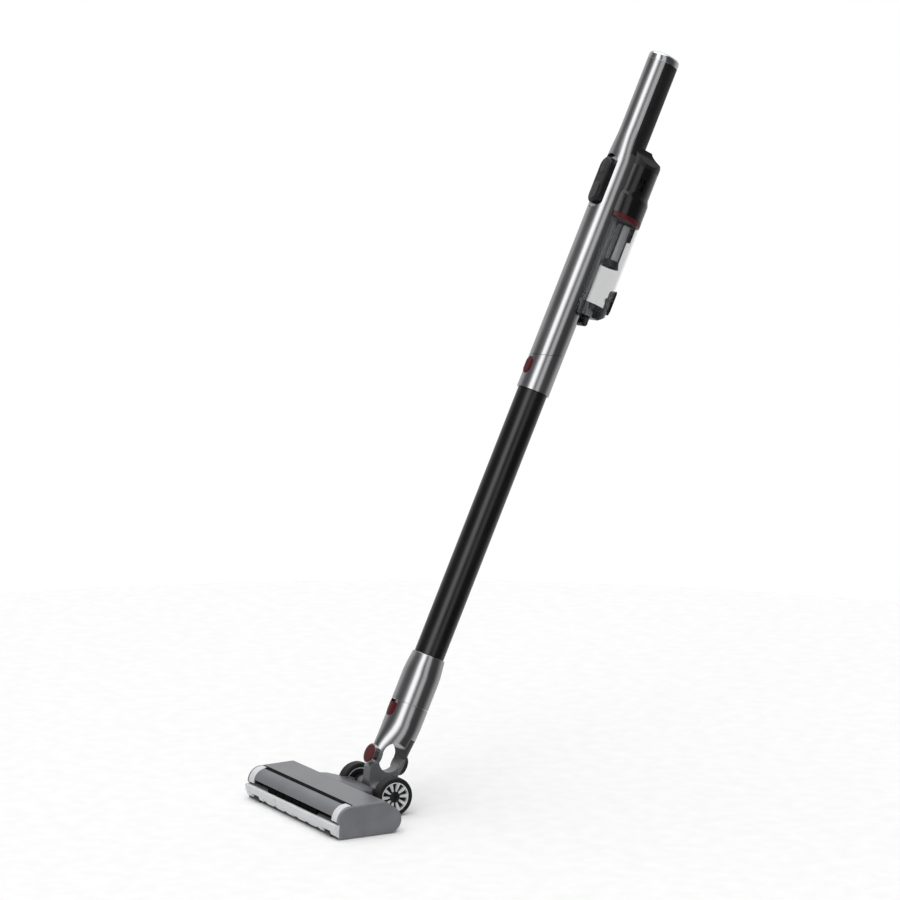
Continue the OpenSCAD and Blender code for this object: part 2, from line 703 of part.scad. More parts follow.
module head_release_button() color("darkred") stick() translate([0, 0, head_button_h]) intersection() {
    along(-conn_r - 2, -spigot_r - 1) head_button_2d();
    cylinder(r = conn_r + 0.6, h = 40, center = true);
}

module swivel_front_cap() color("darkred") stick() translate([0, 0, swivel_h])
    along(front_v - 0.8, front_v + 1.9) circle(front_boss - cap_inset);

module swivel_rear_cap() color("#3a3a3c") stick() translate([0, 0, swivel_h])
    along(back_v - 1.4, back_v + 0.6) circle(back_boss - cap_inset);

module neck_yoke() color("#8f9092") stick() difference() {
    union() {
        intersection() {
            across(-40, 40) polygon([
                [front_split, swivel_h], [front_split, 25.2], [-24.4, 22], [-18.4, 5], [-15, -6],
                [-set_back, -9.5], [10, -5], [15, 4], [17, 14], [back_split, 22], [back_split, swivel_h]]);
            along(-40, 40) polygon([
                [-8.5, swivel_h], [8.5, swivel_h], [8.5, 6], [13, -2], [15, -12],
                [-15, -12], [-13, -2], [-8.5, 6]]);
        }
        translate([0, -set_back, 0]) across(-barrel_half, barrel_half) circle(barrel_r);
        translate([0, 0, swivel_h]) {
            along(front_split, gap_v - gap_r) circle(front_boss);
            along(front_v + 2.4, front_split + 1) circle(stub_r);
            along(gap_v + gap_r, back_split) circle(back_boss);
            along(back_split - 1, back_v - 1.8) circle(trunnion_r);
        }
    }
    across(-40, 40) {
        translate([gap_v, swivel_h]) circle(gap_r);
        translate([gap_v - gap_r, swivel_h]) square([2 * gap_r, 40]);
    }
    translate([0, -set_back, 0]) across(-barrel_half - 1, barrel_half + 1) circle(axle_d / 2 + run_gap);
    // Air way from the hollow trunnion down to the floor head
    translate([0, 0, swivel_h]) along(gap_v + gap_r + 1.6, 40) circle(trunnion_r - 2);
    translate([-way_w / 2, back_split + slide_gap, swivel_h]) cube([way_w, way_d, trunnion_r + 1]);
    translate([-5.5, gap_v + gap_r + 1.4, 0]) cube([11, 1.8, swivel_h]);
    translate([-5.5, -30, -8]) cube([11, 42.5, 3.4]);
    translate([-5.5, 11, -4.7]) cube([11, 1.5, 6]);
}

module wheel_axle() color("#b5b5b8") translate([0, 0, wheel_r])
    across(-wheel_out + 3, wheel_out - 3) circle(axle_d / 2);

// ---- Floor head ----

// Chassis of the floor head
module head_base() color("#2a2b2d") difference() {
    union() {
        head_frame() {
            // Tub under the top cover
            across(-shell_x + seat_gap, shell_x - seat_gap) intersection() {
                difference() { head_outline(0.2); head_outline(skin); }
                translate([40, tub_z]) square([60, split_z - tub_z]);
            }
            // Wall around the back of the brush roll and up to the dark strip
            across(-bay_x, bay_x) difference() {
                intersection() {
                    head_outline(0.9);
                    union() {
                        translate([brush_d, brush_z]) circle(brush_r + 2.6);
                        translate([gap_d + 0.2, roll_z]) square([gap_w - 0.4, 20]);
                    }
                    translate([gap_d + 0.2, tub_z]) square([60, 60]);
                }
                translate([brush_d, brush_z]) circle(brush_r + 1);
            }
            // Wall behind the lamp bar
            across(-bay_x, bay_x) translate([6.2, tub_z]) square([1.2, 20 - tub_z]);
            // Bearing plates
            for (s = [-1, 1]) across(s * bay_x - 1, s * bay_x + 1) intersection() {
                head_outline(skin + 1.2);
                translate([6.2, tub_z]) square([40, 60]);
            }
            // Ribs with the screw bosses, and saddles under the brush motor
            for (s = [-1, 1]) {
                translate([s * screw_x - 1, 40, tub_z]) cube([2, head_depth - 43, split_z - tub_z]);
                for (d = screw_d) translate([s * screw_x, d, tub_z]) cylinder(r = screw_head_r + 1, h = split_z - tub_z);
            }
            for (x = [6, 50]) across(-bay_x + x, -bay_x + x + 3) difference() {
                translate([36, tub_z]) square([head_depth - 38.5, split_z - tub_z]);
                translate([motor_bay_d, motor_bay_z]) circle(brush_motor_d / 2 + seat_gap);
                translate([brush_d, brush_z]) circle(brush_r + 1);
            }
            // Duct to the stem
            difference() {
                translate([-24, brush_d + brush_r + 1.5, tub_z]) cube([48, lip_reach - brush_d - brush_r - 14, 16]);
                translate([-22, 0, 5.2]) cube([44, lip_reach + 20, 12]);
            }
            // Stem between the wheels
            translate([-stem_x, head_depth - 5, tub_z]) cube([2 * stem_x, lip_reach - head_depth - 2, stem_z - tub_z]);
        }
        // Ears that hold the wheel axle
        translate([0, 0, wheel_r]) for (s = [-1, 1])
            across(s > 0 ? ear_x : -stem_x, s > 0 ? stem_x : -ear_x) {
                circle(barrel_r);
                translate([-lip_reach + head_depth, -wheel_r + tub_z]) square([lip_reach - head_depth, 17]);
            }
    }
    // Pocket for the neck barrel, and the bores
    translate([0, 0, wheel_r]) across(-ear_x, ear_x) circle(pocket_r);
    translate([0, 0, wheel_r]) across(-60, 60) circle(axle_d / 2 + run_gap);
    head_frame() {
        translate([-22, brush_d + 5, 5.2]) cube([44, lip_reach, 12]);
        across(-shell_x, shell_x) translate([brush_d, brush_z]) circle(3.4 + run_gap);
        translate([0, motor_bay_d, motor_bay_z]) rotate([0, -90, 0]) cylinder(r = 5.4, h = shell_x);
        for (s = [-1, 1], d = screw_d) translate([s * screw_x, d, 0]) cylinder(r = screw_r + 0.1, h = 11);
        for (s = [-1, 1]) translate([s * roller_x - 9.6, 0, 0]) cube([19.2, 11, 9]);
    }
}

// Plan of the stem cover, narrow between the wheels
module stem_plan_2d(inset = 0) offset(delta = -inset) polygon([
    [-stem_wide, gap_d + 40], [-stem_wide, head_depth - 7], [-stem_wide + 11, head_depth + 2],
    [-stem_x - 0.4, head_depth + 3], [-stem_x - 0.4, lip_reach - 11.5], [stem_x + 0.4, lip_reach - 11.5],
    [stem_x + 0.4, head_depth + 3], [stem_wide - 11, head_depth + 2], [stem_wide, head_depth - 7],
    [stem_wide, gap_d + 40]]);

module head_top_cover() color("#88898c") head_frame() difference() {
    union() {
        across(-shell_x + seat_gap, shell_x - seat_gap) difference() {
            intersection() {
                head_outline();
                translate([gap_d + gap_w, split_z + 0.2]) square([100, 100]);
            }
            head_outline(skin);
        }
        // Stem cover
        difference() {
            intersection() {
                across(-60, 60) polygon([
                    [gap_d + 30, head_h - 1], [head_depth - 14, head_h - 2.6], [lip_reach - 4, 31],
                    [lip_reach - 4, stem_z + 0.2], [gap_d + 30, stem_z + 0.2]]);
                linear_extrude(head_h) stem_plan_2d();
            }
            intersection() {
                across(-60, 60) polygon([
                    [gap_d + 20, head_h - 1 - skin], [head_depth - 14, head_h - 2.6 - skin],
                    [lip_reach, 31 - skin], [lip_reach, 10], [gap_d + 20, 10]]);
                linear_extrude(head_h) stem_plan_2d(skin);
            }
            across(-60, 60) head_outline(skin);
        }
    }
    // Room for the stem of the chassis and the neck foot
    translate([-stem_x - 0.2, head_depth - 6, 0]) cube([2 * stem_x + 0.4, 60, stem_z + 0.2]);
    translate([0, lip_reach, wheel_r]) across(-ear_x, ear_x) circle(pocket_r);
}

module roller_cover() color("#7d7e82") head_frame() across(-bay_x - 0.4, bay_x + 0.4) intersection() {
    difference() {
        translate([roll_d, roll_z]) circle(cover_r);
        translate([roll_d, roll_z]) circle(cover_r - 1.7);
    }
    translate([-1, 24]) square([gap_d + 1 - seat_gap, 40]);
}

module end_bands() color("#d8d9db") head_frame() for (s = [-1, 1])
    across(s > 0 ? bay_x + 0.6 : -shell_x + seat_gap, s > 0 ? shell_x - seat_gap : -bay_x - 0.6) intersection() {
        difference() { head_outline(-0.1); head_outline(2.4); }
        translate([-2, split_z + 4.2]) square([gap_d + gap_w - 0.2 + 2, 40]);
    }

// Side outline of an end cap, cut back to stand behind the lip
module cap_2d(inset) difference() {
    head_outline(inset);
    translate([-5, -5]) square([8.6 + inset, lip_top + 5.3]);
}

module side_caps() color("#73747a") head_frame() for (s = [-1, 1]) {
    across(s > 0 ? shell_x : -half_w + 0.8, s > 0 ? half_w - 0.8 : -shell_x) cap_2d(0);
    across(s > 0 ? half_w - 0.8 : -half_w, s > 0 ? half_w : -half_w + 0.8) cap_2d(0.8);
}

module front_lip() color("#dcdddf") head_frame() difference() {
    union() {
        across(-half_w + 0.6, half_w - 0.6) hull() {
            translate([1, lip_top - 2.6]) circle(2.6);
            translate([1.8, lip_top - 7]) circle(1.8);
        }
        across(-shell_x + seat_gap, shell_x - seat_gap) translate([1, lip_top - 2.4]) square([5, 1.8]);
        across(-half_w + 0.6, half_w - 0.6) translate([0.6, 2.4]) square([2.2, lip_top - 9]);
    }
    // Scallops that let large crumbs reach the brush
    for (i = [-2:1]) translate([(i + 0.5) * tooth_pitch, 0, -4]) along(-1, 8) circle(14);
    for (s = [-1, 1]) translate([s * roller_x, 0, 0]) along(-1, 12) translate([-10, -1]) square([20, 10.4]);
}

module sole_plate() color("#1e1f20") head_frame() {
    difference() {
        translate([-shell_x + 2, 4.2, sole_z]) cube([2 * shell_x - 4, 68, 2.4]);
        translate([-bay_x + 3, 12, 0]) cube([2 * bay_x - 6, 26, 5]);
        for (s = [-1, 1]) translate([s * roller_x - 9.4, 0, 0]) cube([18.8, 10, 5]);
        for (s = [-1, 1], d = screw_d) translate([s * screw_x, d, 0]) {
            cylinder(r = screw_r + 0.2, h = 5);
            cylinder(r = screw_head_r + 0.2, h = sole_z + 1.7);
        }
    }
    for (i = [-2:2]) translate([i * tooth_pitch - 3.5, 4.3, sole_z + 2.3]) cube([7, 1.7, 5]);
}

module front_rollers() color("#121212") head_frame() for (s = [-1, 1]) {
    translate([s * roller_x, 5.4, 4]) rotate([0, 90, 0]) cylinder(r = 4, h = 15, center = true);
    translate([s * roller_x, 5.4, 4]) rotate([0, 90, 0]) cylinder(r = 1, h = 18.4, center = true);
}

module led_bar() color("#17181a") head_frame() difference() {
    translate([-led_half, 4.2, 20.2]) cube([2 * led_half, 3.6, 3.4]);
    for (i = [-2.5:2.5]) translate([i * led_pitch - 6.5, 3, 21]) cube([13, 3.6, 1.8]);
}

module led_lenses() color("#3b3d42") head_frame() for (i = [-2.5:2.5])
    translate([i * led_pitch - 6.4, 4.4, 21.1]) cube([12.8, 2.1, 1.6]);

module brush_motor() color("#8a8a8c") head_frame() translate([0, motor_bay_d, motor_bay_z]) rotate([0, -90, 0]) difference() {
    union() {
        translate([0, 0, bay_x - 65]) cylinder(r = brush_motor_d / 2, h = 58);
        translate([0, 0, bay_x - 8]) cylinder(r = 5, h = 5);
    }
    translate([0, 0, bay_x - 40]) cylinder(r = 1.5 + run_gap, h = 40);
}

module motor_pulley() color("#55565a") head_frame() translate([0, motor_bay_d, motor_bay_z]) rotate([0, -90, 0]) {
    translate([0, 0, bay_x - 30]) cylinder(r = 1.5, h = 40);
    translate([0, 0, belt_x - 1]) cylinder(r = motor_pulley_r, h = belt_w + 2);
}

// Belt outline round both pulleys
module belt_2d(grow) hull() {
    translate([brush_d, brush_z]) circle(brush_pulley_r + grow);
    translate([motor_bay_d, motor_bay_z]) circle(motor_pulley_r + grow);
}

module drive_belt() color("#0d0d0d") head_frame() across(-belt_x - belt_w, -belt_x) difference() {
    belt_2d(1.7);
    belt_2d(slide_gap);
}

module brush_core() color("#b03038") head_frame() translate([0, brush_d, brush_z]) {
    across(-bay_x + 2, bay_x - 2) circle(9.5);
    across(-belt_x - belt_w - 2, bay_x + 4) circle(3.4);
    across(-belt_x - belt_w - 1, -belt_x + 1) circle(brush_pulley_r);
}

module brush_bristles() color("#303034") head_frame() translate([0, brush_d, brush_z])
    across(-bay_x + 4, bay_x - 4) for (a = [0:60:300]) rotate(a) translate([9.5, -1.6]) square([brush_r - 9.6, 3.2]);

module rim(side) translate([0, 0, wheel_r]) {
    across(side > 0 ? wheel_x : -wheel_out, side > 0 ? wheel_out : -wheel_x) difference() {
        circle(rim_r);
        circle(rim_r - 1.8);
    }
    across(side > 0 ? wheel_x : -wheel_out + 1.5, side > 0 ? wheel_out - 1.5 : -wheel_x) difference() {
        circle(6.5);
        circle(axle_d / 2 + run_gap);
    }
    for (a = [0:36:324]) across(side > 0 ? wheel_out - 6 : -wheel_out + 1.5, side > 0 ? wheel_out - 1.5 : -wheel_out + 6)
        rotate(a) translate([5.5, -1]) square([rim_r - 6.5, 2]);
    // Cap over the axle end
    across(side > 0 ? wheel_out - 2 : -wheel_out + 0.2, side > 0 ? wheel_out - 0.2 : -wheel_out + 2) circle(5.5);
}

module tyre(side) translate([0, 0, wheel_r])
    across(side > 0 ? wheel_x : -wheel_out, side > 0 ? wheel_out : -wheel_x) difference() {
        circle(wheel_r);
        circle(rim_r);
    }

module left_rim() color("#d0d1d3") rim(-1);
module right_rim() color("#d0d1d3") rim(1);
module left_tyre() color("#161616") tyre(-1);
module right_tyre() color("#161616") tyre(1);

module head_screws() color("#6a6a6c") head_frame()
    for (s = [-1, 1], d = screw_d) translate([s * screw_x, d, sole_z + 1.65]) mirror([0, 0, 1]) screw(8);

main_shell();
pipe_end_collar();
rear_grip();
handle_end_cap();
control_panel();
control_board();
display_window();
motor_housing();
housing_top_cover();
suction_motor();
premotor_filter();
battery_cells();
battery_holder();
charge_socket();
inlet_duct();
housing_screws();
impeller();
power_button();
mode_button();
wand_release_button();
wand_release_spring();
cup_release_button();
cup_shell();
cup_seal_ring();
cyclone_mesh();
cyclone_frame();
hinge_pins();
cup_door();
door_seal();
door_latch();
wand_tube();
wand_upper_plug();
wand_lower_plug();
connector_sleeve();
connector_fork();
head_release_button();
swivel_front_cap();
swivel_rear_cap();
neck_yoke();
head_base();
head_top_cover();
roller_cover();
end_bands();
side_caps();
front_lip();
sole_plate();
led_bar();
led_lenses();
brush_motor();
motor_pulley();
drive_belt();
brush_core();
brush_bristles();
wheel_axle();
left_rim();
left_tyre();
right_rim();
right_tyre();
front_rollers();
head_screws();
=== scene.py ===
import json
from math import cos, radians, sin

import bpy
from mathutils import Matrix, Vector


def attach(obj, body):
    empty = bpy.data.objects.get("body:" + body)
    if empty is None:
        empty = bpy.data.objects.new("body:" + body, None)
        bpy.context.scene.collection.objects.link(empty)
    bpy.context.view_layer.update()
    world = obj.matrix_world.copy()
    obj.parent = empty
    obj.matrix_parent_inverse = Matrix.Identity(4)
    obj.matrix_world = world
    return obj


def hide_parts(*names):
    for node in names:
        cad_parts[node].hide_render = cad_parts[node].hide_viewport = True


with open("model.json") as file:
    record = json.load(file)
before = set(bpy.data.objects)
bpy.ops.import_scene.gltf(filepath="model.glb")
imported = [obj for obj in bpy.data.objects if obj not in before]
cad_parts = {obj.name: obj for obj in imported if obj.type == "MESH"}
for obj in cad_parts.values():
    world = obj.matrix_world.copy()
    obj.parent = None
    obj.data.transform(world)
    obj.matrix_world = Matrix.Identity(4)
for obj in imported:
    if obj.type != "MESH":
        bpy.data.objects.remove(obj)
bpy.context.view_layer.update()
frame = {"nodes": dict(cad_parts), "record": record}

MM = 0.001
PARTS = {part["node"]: part["material_slot"] for part in frame["record"]["subparts"]}
BODY_OF = {node: body for body, nodes in frame["record"]["behaviour"]["bodies"].items() for node in nodes}

# ---- Camera and light ----

BACK_AZIMUTH = radians(61)
BACK_HEIGHT = radians(6.95)
EYE = Vector((3.2064, -1.6716, 0.8836))
LENS, SENSOR = 120.16, 36.0


def camera():
    """The eye stands low at the right front, with a long lens."""
    bpy.ops.object.camera_add(location=EYE, rotation=(radians(90) - BACK_HEIGHT, 0, BACK_AZIMUTH))
    eye = bpy.context.object
    eye.data.lens = LENS
    eye.data.sensor_width = SENSOR
    bpy.context.scene.camera = eye


def add(tree, kind, sockets=None, **settings):
    """Adds one node: settings go on the node, and each socket takes a value or another node's output."""
    made = tree.nodes.new(kind)
    for key, value in settings.items():
        setattr(made, key, value)
    for key, value in (sockets or {}).items():
        if isinstance(value, bpy.types.NodeSocket):
            tree.links.new(value, made.inputs[key])
        else:
            made.inputs[key].default_value = value
    return made


def shade(code):
    """Linear colour of an sRGB hex value."""
    parts = [int(code[i:i + 2], 16) / 255 for i in (0, 2, 4)]
    return [p / 12.92 if p <= 0.04045 else ((p + 0.055) / 1.055) ** 2.4 for p in parts] + [1.0]


def steps(ramp, stops):
    """Fills a colour ramp with (position, colour) stops."""
    points = ramp.color_ramp.elements
    while len(points) < len(stops):
        points.new(0.5)
    for point, (at, colour) in zip(points, stops):
        point.position = at
        point.color = colour
    return ramp


# Brightness of the studio by compass direction in degrees: tall soft boxes with dark flags between them
AROUND = [
    (-180, 0.60), (-150, 0.50), (-134, 0.22), (-112, 0.12), (-94, 0.13), (-82, 0.22), (-68, 0.60), (-59, 1.9),
    (-42, 2.0), (-33, 0.85), (-26, 0.16), (-18, 0.30), (-10, 0.75), (3, 0.70), (11, 0.08), (50, 0.07),
    (68, 0.22), (86, 0.50), (130, 0.60), (180, 0.60)]
OVERHEAD = 1.9
# Degrees above the horizon between which the ring of boxes gives way to the one overhead
OVERHEAD_FROM, OVERHEAD_FULL = 44, 56


def studio():
    """World with soft boxes all round and one overhead; the lens sees plain white."""
    world = bpy.data.worlds.new("studio")
    bpy.context.scene.world = world
    world.use_nodes = True
    tree = world.node_tree
    tree.nodes.clear()
    looked = add(tree, "ShaderNodeTexCoord")
    axes = add(tree, "ShaderNodeSeparateXYZ", {"Vector": looked.outputs["Generated"]})
    turn = add(tree, "ShaderNodeMath", {0: axes.outputs["Y"], 1: axes.outputs["X"]}, operation="ARCTAN2")
    share = add(tree, "ShaderNodeMapRange", {
        "Value": turn.outputs[0], "From Min": radians(-180), "From Max": radians(180)})
    brightest = max(value for _, value in AROUND)
    ring = steps(add(tree, "ShaderNodeValToRGB", {"Fac": share.outputs["Result"]}),
                 [((at + 180) / 360, [value / brightest] * 3 + [1]) for at, value in AROUND])
    side = add(tree, "ShaderNodeBackground", {"Color": ring.outputs["Color"], "Strength": brightest})
    top = add(tree, "ShaderNodeBackground", {"Color": (1, 1, 1, 1), "Strength": OVERHEAD})
    height = add(tree, "ShaderNodeMapRange", {
        "Value": axes.outputs["Z"], "From Min": sin(radians(OVERHEAD_FROM)),
        "From Max": sin(radians(OVERHEAD_FULL))})
    around = add(tree, "ShaderNodeMixShader", {
        "Fac": height.outputs["Result"], 1: side.outputs[0], 2: top.outputs[0]})
    white = add(tree, "ShaderNodeBackground", {"Color": (1, 1, 1, 1), "Strength": 1.0})
    path = add(tree, "ShaderNodeLightPath")
    straight = add(tree, "ShaderNodeMath", {
        0: path.outputs["Is Camera Ray"], 1: path.outputs["Is Transmission Ray"]}, operation="MAXIMUM")
    seen = add(tree, "ShaderNodeMixShader", {
        "Fac": straight.outputs[0], 1: around.outputs[0], 2: white.outputs[0]})
    add(tree, "ShaderNodeOutputWorld", {"Surface": seen.outputs[0]})
    bpy.context.scene.view_settings.view_transform = "Standard"


# ---- Finishes ----

def finish(name, main, second, rough, grain, depth, metallic=0.0, spread=0.05, cloud=24.0,
           pattern="ShaderNodeTexNoise", stretch=(1, 1, 1), glaze=None):
    """A material whose colour and gloss drift over `cloud` mm, its grain `grain` mm wide, `depth` mm deep."""
    material = bpy.data.materials.new(name)
    material.use_nodes = True
    tree = material.node_tree
    surface = tree.nodes["Principled BSDF"]
    at = add(tree, "ShaderNodeTexCoord")
    drawn = add(tree, "ShaderNodeMapping", {"Vector": at.outputs["Object"], "Scale": stretch})
    drift = add(tree, "ShaderNodeTexNoise", {
        "Vector": at.outputs["Object"], "Scale": 1 / (cloud * MM), "Detail": 3.0})
    colour = steps(add(tree, "ShaderNodeValToRGB", {"Fac": drift.outputs["Fac"]}),
                   [(0.35, shade(main)), (0.68, shade(second))])
    gloss = add(tree, "ShaderNodeMapRange", {
        "Value": drift.outputs["Fac"], "From Min": 0.3, "From Max": 0.7,
        "To Min": rough - spread, "To Max": rough + spread})
    texture = add(tree, pattern, {"Vector": drawn.outputs[0], "Scale": 1 / (grain * MM)})
    relief = texture.outputs.get("Fac") or texture.outputs["Distance"]
    bump = add(tree, "ShaderNodeBump", {"Height": relief, "Distance": depth * MM, "Strength": 1.0})
    for key, value in (("Base Color", colour.outputs["Color"]), ("Roughness", gloss.outputs["Result"]),
                       ("Normal", bump.outputs["Normal"])):
        tree.links.new(value, surface.inputs[key])
    surface.inputs["Metallic"].default_value = metallic
    for key, value in (glaze or {}).items():
        surface.inputs[key].default_value = value
    return material


VORONOI = "ShaderNodeTexVoronoi"
# Acrylic lacquer over ABS: a thin gloss coat
LACQUER = {"IOR": 1.5, "Coat Weight": 0.4, "Coat Roughness": 0.06}
PLAIN = {"IOR": 1.5}
RUBBERY = {"IOR": 1.52}

FINISHES = {
    # Sprayed aluminium-flake lacquer: long sharp bands of light with a faint sparkle
    "silver_paint": finish("aluminium_flake_lacquer_sprayed", "B9B9BB", "C4C4C6", 0.19, 0.5, 0.004,
                           metallic=1.0, spread=0.03, cloud=60),
    # Chrome plated on ABS: almost white where it meets the light
    "white_cap": finish("bright_chrome_plated_abs", "CDCED2", "DADBDE", 0.07, 0.8, 0.0015,
                        metallic=1.0, spread=0.02),
    # Soft-touch polyurethane paint: a fine dry pebble that kills reflections
    "soft_grip": finish("soft_touch_polyurethane_sprayed", "0E0E0F", "151516", 0.48, 0.9, 0.05,
                        pattern=VORONOI, glaze=RUBBERY),
    # Polished black ABS
    "black_gloss": finish("black_abs_polished", "08080A", "0E0E10", 0.14, 1.5, 0.002, glaze=LACQUER),
    # Black ABS from a spark-eroded mould
    "black_satin": finish("black_abs_spark_eroded", "111112", "19191A", 0.34, 0.7, 0.02, glaze=PLAIN),
    # Glass-filled nylon: slightly cloudy and grained
    "dark_grey": finish("dark_grey_nylon_moulded", "252628", "2D2E30", 0.36, 0.8, 0.02, glaze=PLAIN),
    # Nylon with metallic pigment: an even grey that lightens where the light is square to it
    "mid_grey": finish("grey_metallic_nylon_moulded", "828387", "8E8F93", 0.34, 0.6, 0.012,
                       metallic=0.3),
    # Die-cast zinc under silver lacquer
    "neck_silver": finish("zinc_die_cast_lacquered", "8E8F92", "9A9B9E", 0.26, 0.6, 0.006,
                          metallic=0.6, spread=0.04),
    # Lacquered light-grey ABS with fine flake
    "light_grey": finish("light_grey_abs_lacquered", "D6D7D9", "E0E1E3", 0.3, 0.5, 0.002,
                         metallic=0.1),
    # Dark-red tinted ABS, even and deep, with little gloss of its own
    "dark_red": finish("dark_red_abs_polished", "4F161A", "5A1A1F", 0.3, 4.0, 0.001,
                       spread=0.02, glaze={"IOR": 1.3}),
    # Red silicone: half clear, so it glows a little
    "red_seal": finish("red_silicone_moulded", "58141B", "681D25", 0.32, 0.9, 0.01,
                       glaze={"IOR": 1.41, "Transmission Weight": 0.35}),
    # Lightly smoked polycarbonate: see-through, greyer where more wall lies behind, with faint flow marks
    "clear_smoke": finish("clear_polycarbonate_moulded", "4A4D50", "565A5E", 0.08, 18.0, 0.05, spread=0.02,
                          glaze={"IOR": 1.58, "Alpha": 0.14}),
    # The same plastic with a dark tint, nearly black
    "smoke_door": finish("smoked_polycarbonate_moulded", "1E2022", "292B2E", 0.12, 14.0, 0.04, spread=0.03,
                         glaze={"IOR": 1.58, "Alpha": 0.86}),
    # Solder mask over glass-fibre laminate
    "board_green": finish("solder_mask_on_laminate", "0B3D1E", "125229", 0.3, 0.9, 0.02, glaze=PLAIN),
    # Drawn steel with fine lines along the axle
    "steel": finish("drawn_steel", "A6A6A8", "B4B4B6", 0.28, 0.6, 0.01, metallic=1.0, stretch=(0.05, 1, 1)),
    # Etched stainless sheet: a field of holes drawn 1.4 mm apart, coarser than life so that they show
    "mesh_steel": finish("etched_stainless_sheet", "C2C3C5", "D4D5D7", 0.34, 1.4, 0.25, metallic=0.35,
                         pattern=VORONOI),
    # Heat-shrunk PVC film
    "cell_wrap": finish("shrink_pvc_film", "25506E", "2D5C7C", 0.24, 1.6, 0.02, glaze=PLAIN),
    # Natural glass-filled nylon
    "holder": finish("natural_nylon_moulded", "D2D0C6", "DCDAD1", 0.42, 0.9, 0.02, glaze=PLAIN),
    # Needle-punched polyester felt
    "filter": finish("polyester_felt_needled", "D8D4C6", "E6E2D6", 0.9, 0.5, 0.25, glaze=PLAIN),
    # Black nitrile rubber, dull with a little bloom
    "rubber": finish("nitrile_rubber_moulded", "131313", "1C1C1C", 0.56, 0.7, 0.03, glaze=RUBBERY),
    # Black powder coat over aluminium tube: soft wide highlight
    "tube_black": finish("black_gloss_coat_on_aluminium_tube", "0B0B0D", "101012", 0.24, 0.7, 0.006,
                         cloud=45, glaze={"IOR": 1.5, "Coat Weight": 0.25, "Coat Roughness": 0.12}),
    # Grey metallic ABS of the floor head
    "cover_grey": finish("grey_metallic_abs_sprayed", "8E8F93", "999A9E", 0.30, 0.5, 0.006,
                         metallic=0.8, spread=0.04, cloud=50),
    # Nylon filament, drawn thicker than life so that single hairs show
    "bristle": finish("nylon_filament_tufts", "24242A", "3A3A42", 0.5, 0.4, 0.15, stretch=(1, 0.2, 0.2)),
    # Red ABS of the brush core
    "roll_red": finish("red_abs_moulded", "8C1A24", "9A222D", 0.36, 0.8, 0.02, glaze=PLAIN),
    # Black ABS blasted dull, which stays dark even at a glancing angle; on the top strip this near-black is
    # painted shade standing for the gap
    "dull_black_and_gap_shade": finish("black_abs_dull_and_painted_gap_shade", "040405", "080809", 0.6, 0.7, 0.02,
                         glaze={"IOR": 1.25, "Specular IOR Level": 0.1}),
    # Tread rubber: dull, with the fine scuff of use
    "tyre": finish("tyre_rubber_moulded", "101010", "191919", 0.62, 0.8, 0.05, glaze=RUBBERY),
}
# Matt paper sweep
FLOOR = finish("pale_paper_floor", "F4F4F4", "F8F8F8", 0.8, 3.0, 0.01)

# ---- Working tools ----


def rest():
    """Back to object mode with nothing selected."""
    if bpy.context.mode != "OBJECT":
        bpy.ops.object.mode_set(mode="OBJECT")
    bpy.ops.object.select_all(action="DESELECT")


def hold(piece):
    """Makes one piece the only one selected and active."""
    rest()
    piece.select_set(True)
    bpy.context.view_layer.objects.active = piece
    return piece


def edit(piece, mode="VERT"):
    """Opens a piece in edit mode with nothing selected."""
    hold(piece)
    bpy.ops.object.mode_set(mode="EDIT")
    bpy.ops.mesh.select_mode(type=mode)
    bpy.ops.mesh.select_all(action="DESELECT")


def pick(piece, test, mode="VERT"):
    """Selects the vertices or faces whose centre, in mm, passes a test, and opens edit mode."""
    edit(piece, mode)
    bpy.ops.object.mode_set(mode="OBJECT")
    if mode == "VERT":
        for point in piece.data.vertices:
            point.select = bool(test(point.co / MM, None))
    else:
        for face in piece.data.polygons:
            face.select = bool(test(face.center / MM, face.normal))
    bpy.ops.object.mode_set(mode="EDIT")


def apply(piece, kind, **settings):
    """Adds one modifier with its settings and applies it."""
    hold(piece)
    made = piece.modifiers.new(kind.title(), kind)
    for key, value in settings.items():
        setattr(made, key, value)
    bpy.ops.object.modifier_apply(modifier=made.name)
    return piece


def settle(piece, place=None):
    """Writes a piece's place into its mesh, after moving it to a new one if that is given."""
    if place is not None:
        piece.matrix_world = place
    hold(piece)
    bpy.ops.object.transform_apply(location=True, rotation=True, scale=True)
    return piece


def twin(piece):
    """A second piece with its own copy of the mesh."""
    made = piece.copy()
    made.data = piece.data.copy()
    bpy.context.scene.collection.objects.link(made)
    return made


def carve(piece, cutter):
    """Cuts the shape of one piece out of another and throws the cutter away."""
    apply(piece, "BOOLEAN", object=cutter, operation="DIFFERENCE", solver="EXACT")
    bpy.data.objects.remove(cutter)
    return piece


def ease(piece, width, angle=32, segments=2):
    """Rounds the sharp edges by `width` mm and smooths the rest."""
    apply(piece, "BEVEL", width=width * MM, segments=segments, limit_method="ANGLE",
          angle_limit=radians(angle), use_clamp_overlap=True, miter_outer="MITER_ARC")
    hold(piece)
    bpy.ops.object.shade_smooth_by_angle(angle=radians(angle))
    apply(piece, "WEIGHTED_NORMAL", keep_sharp=True)
    return piece


AXLE_UP = 24
LEAN = radians(-24.7)
# The stick is drawn upright on its own axis, the head back from its lip, and a part's own solid as it stands
STICK = (Matrix.Translation((0, 0, AXLE_UP * MM)) @ Matrix.Rotation(LEAN, 4, "X")
         @ Matrix.Translation((0, 2.8 * MM, 0)))
HEAD = Matrix.Translation((0, -116 * MM, 0))
FLAT = Matrix.Identity(4)


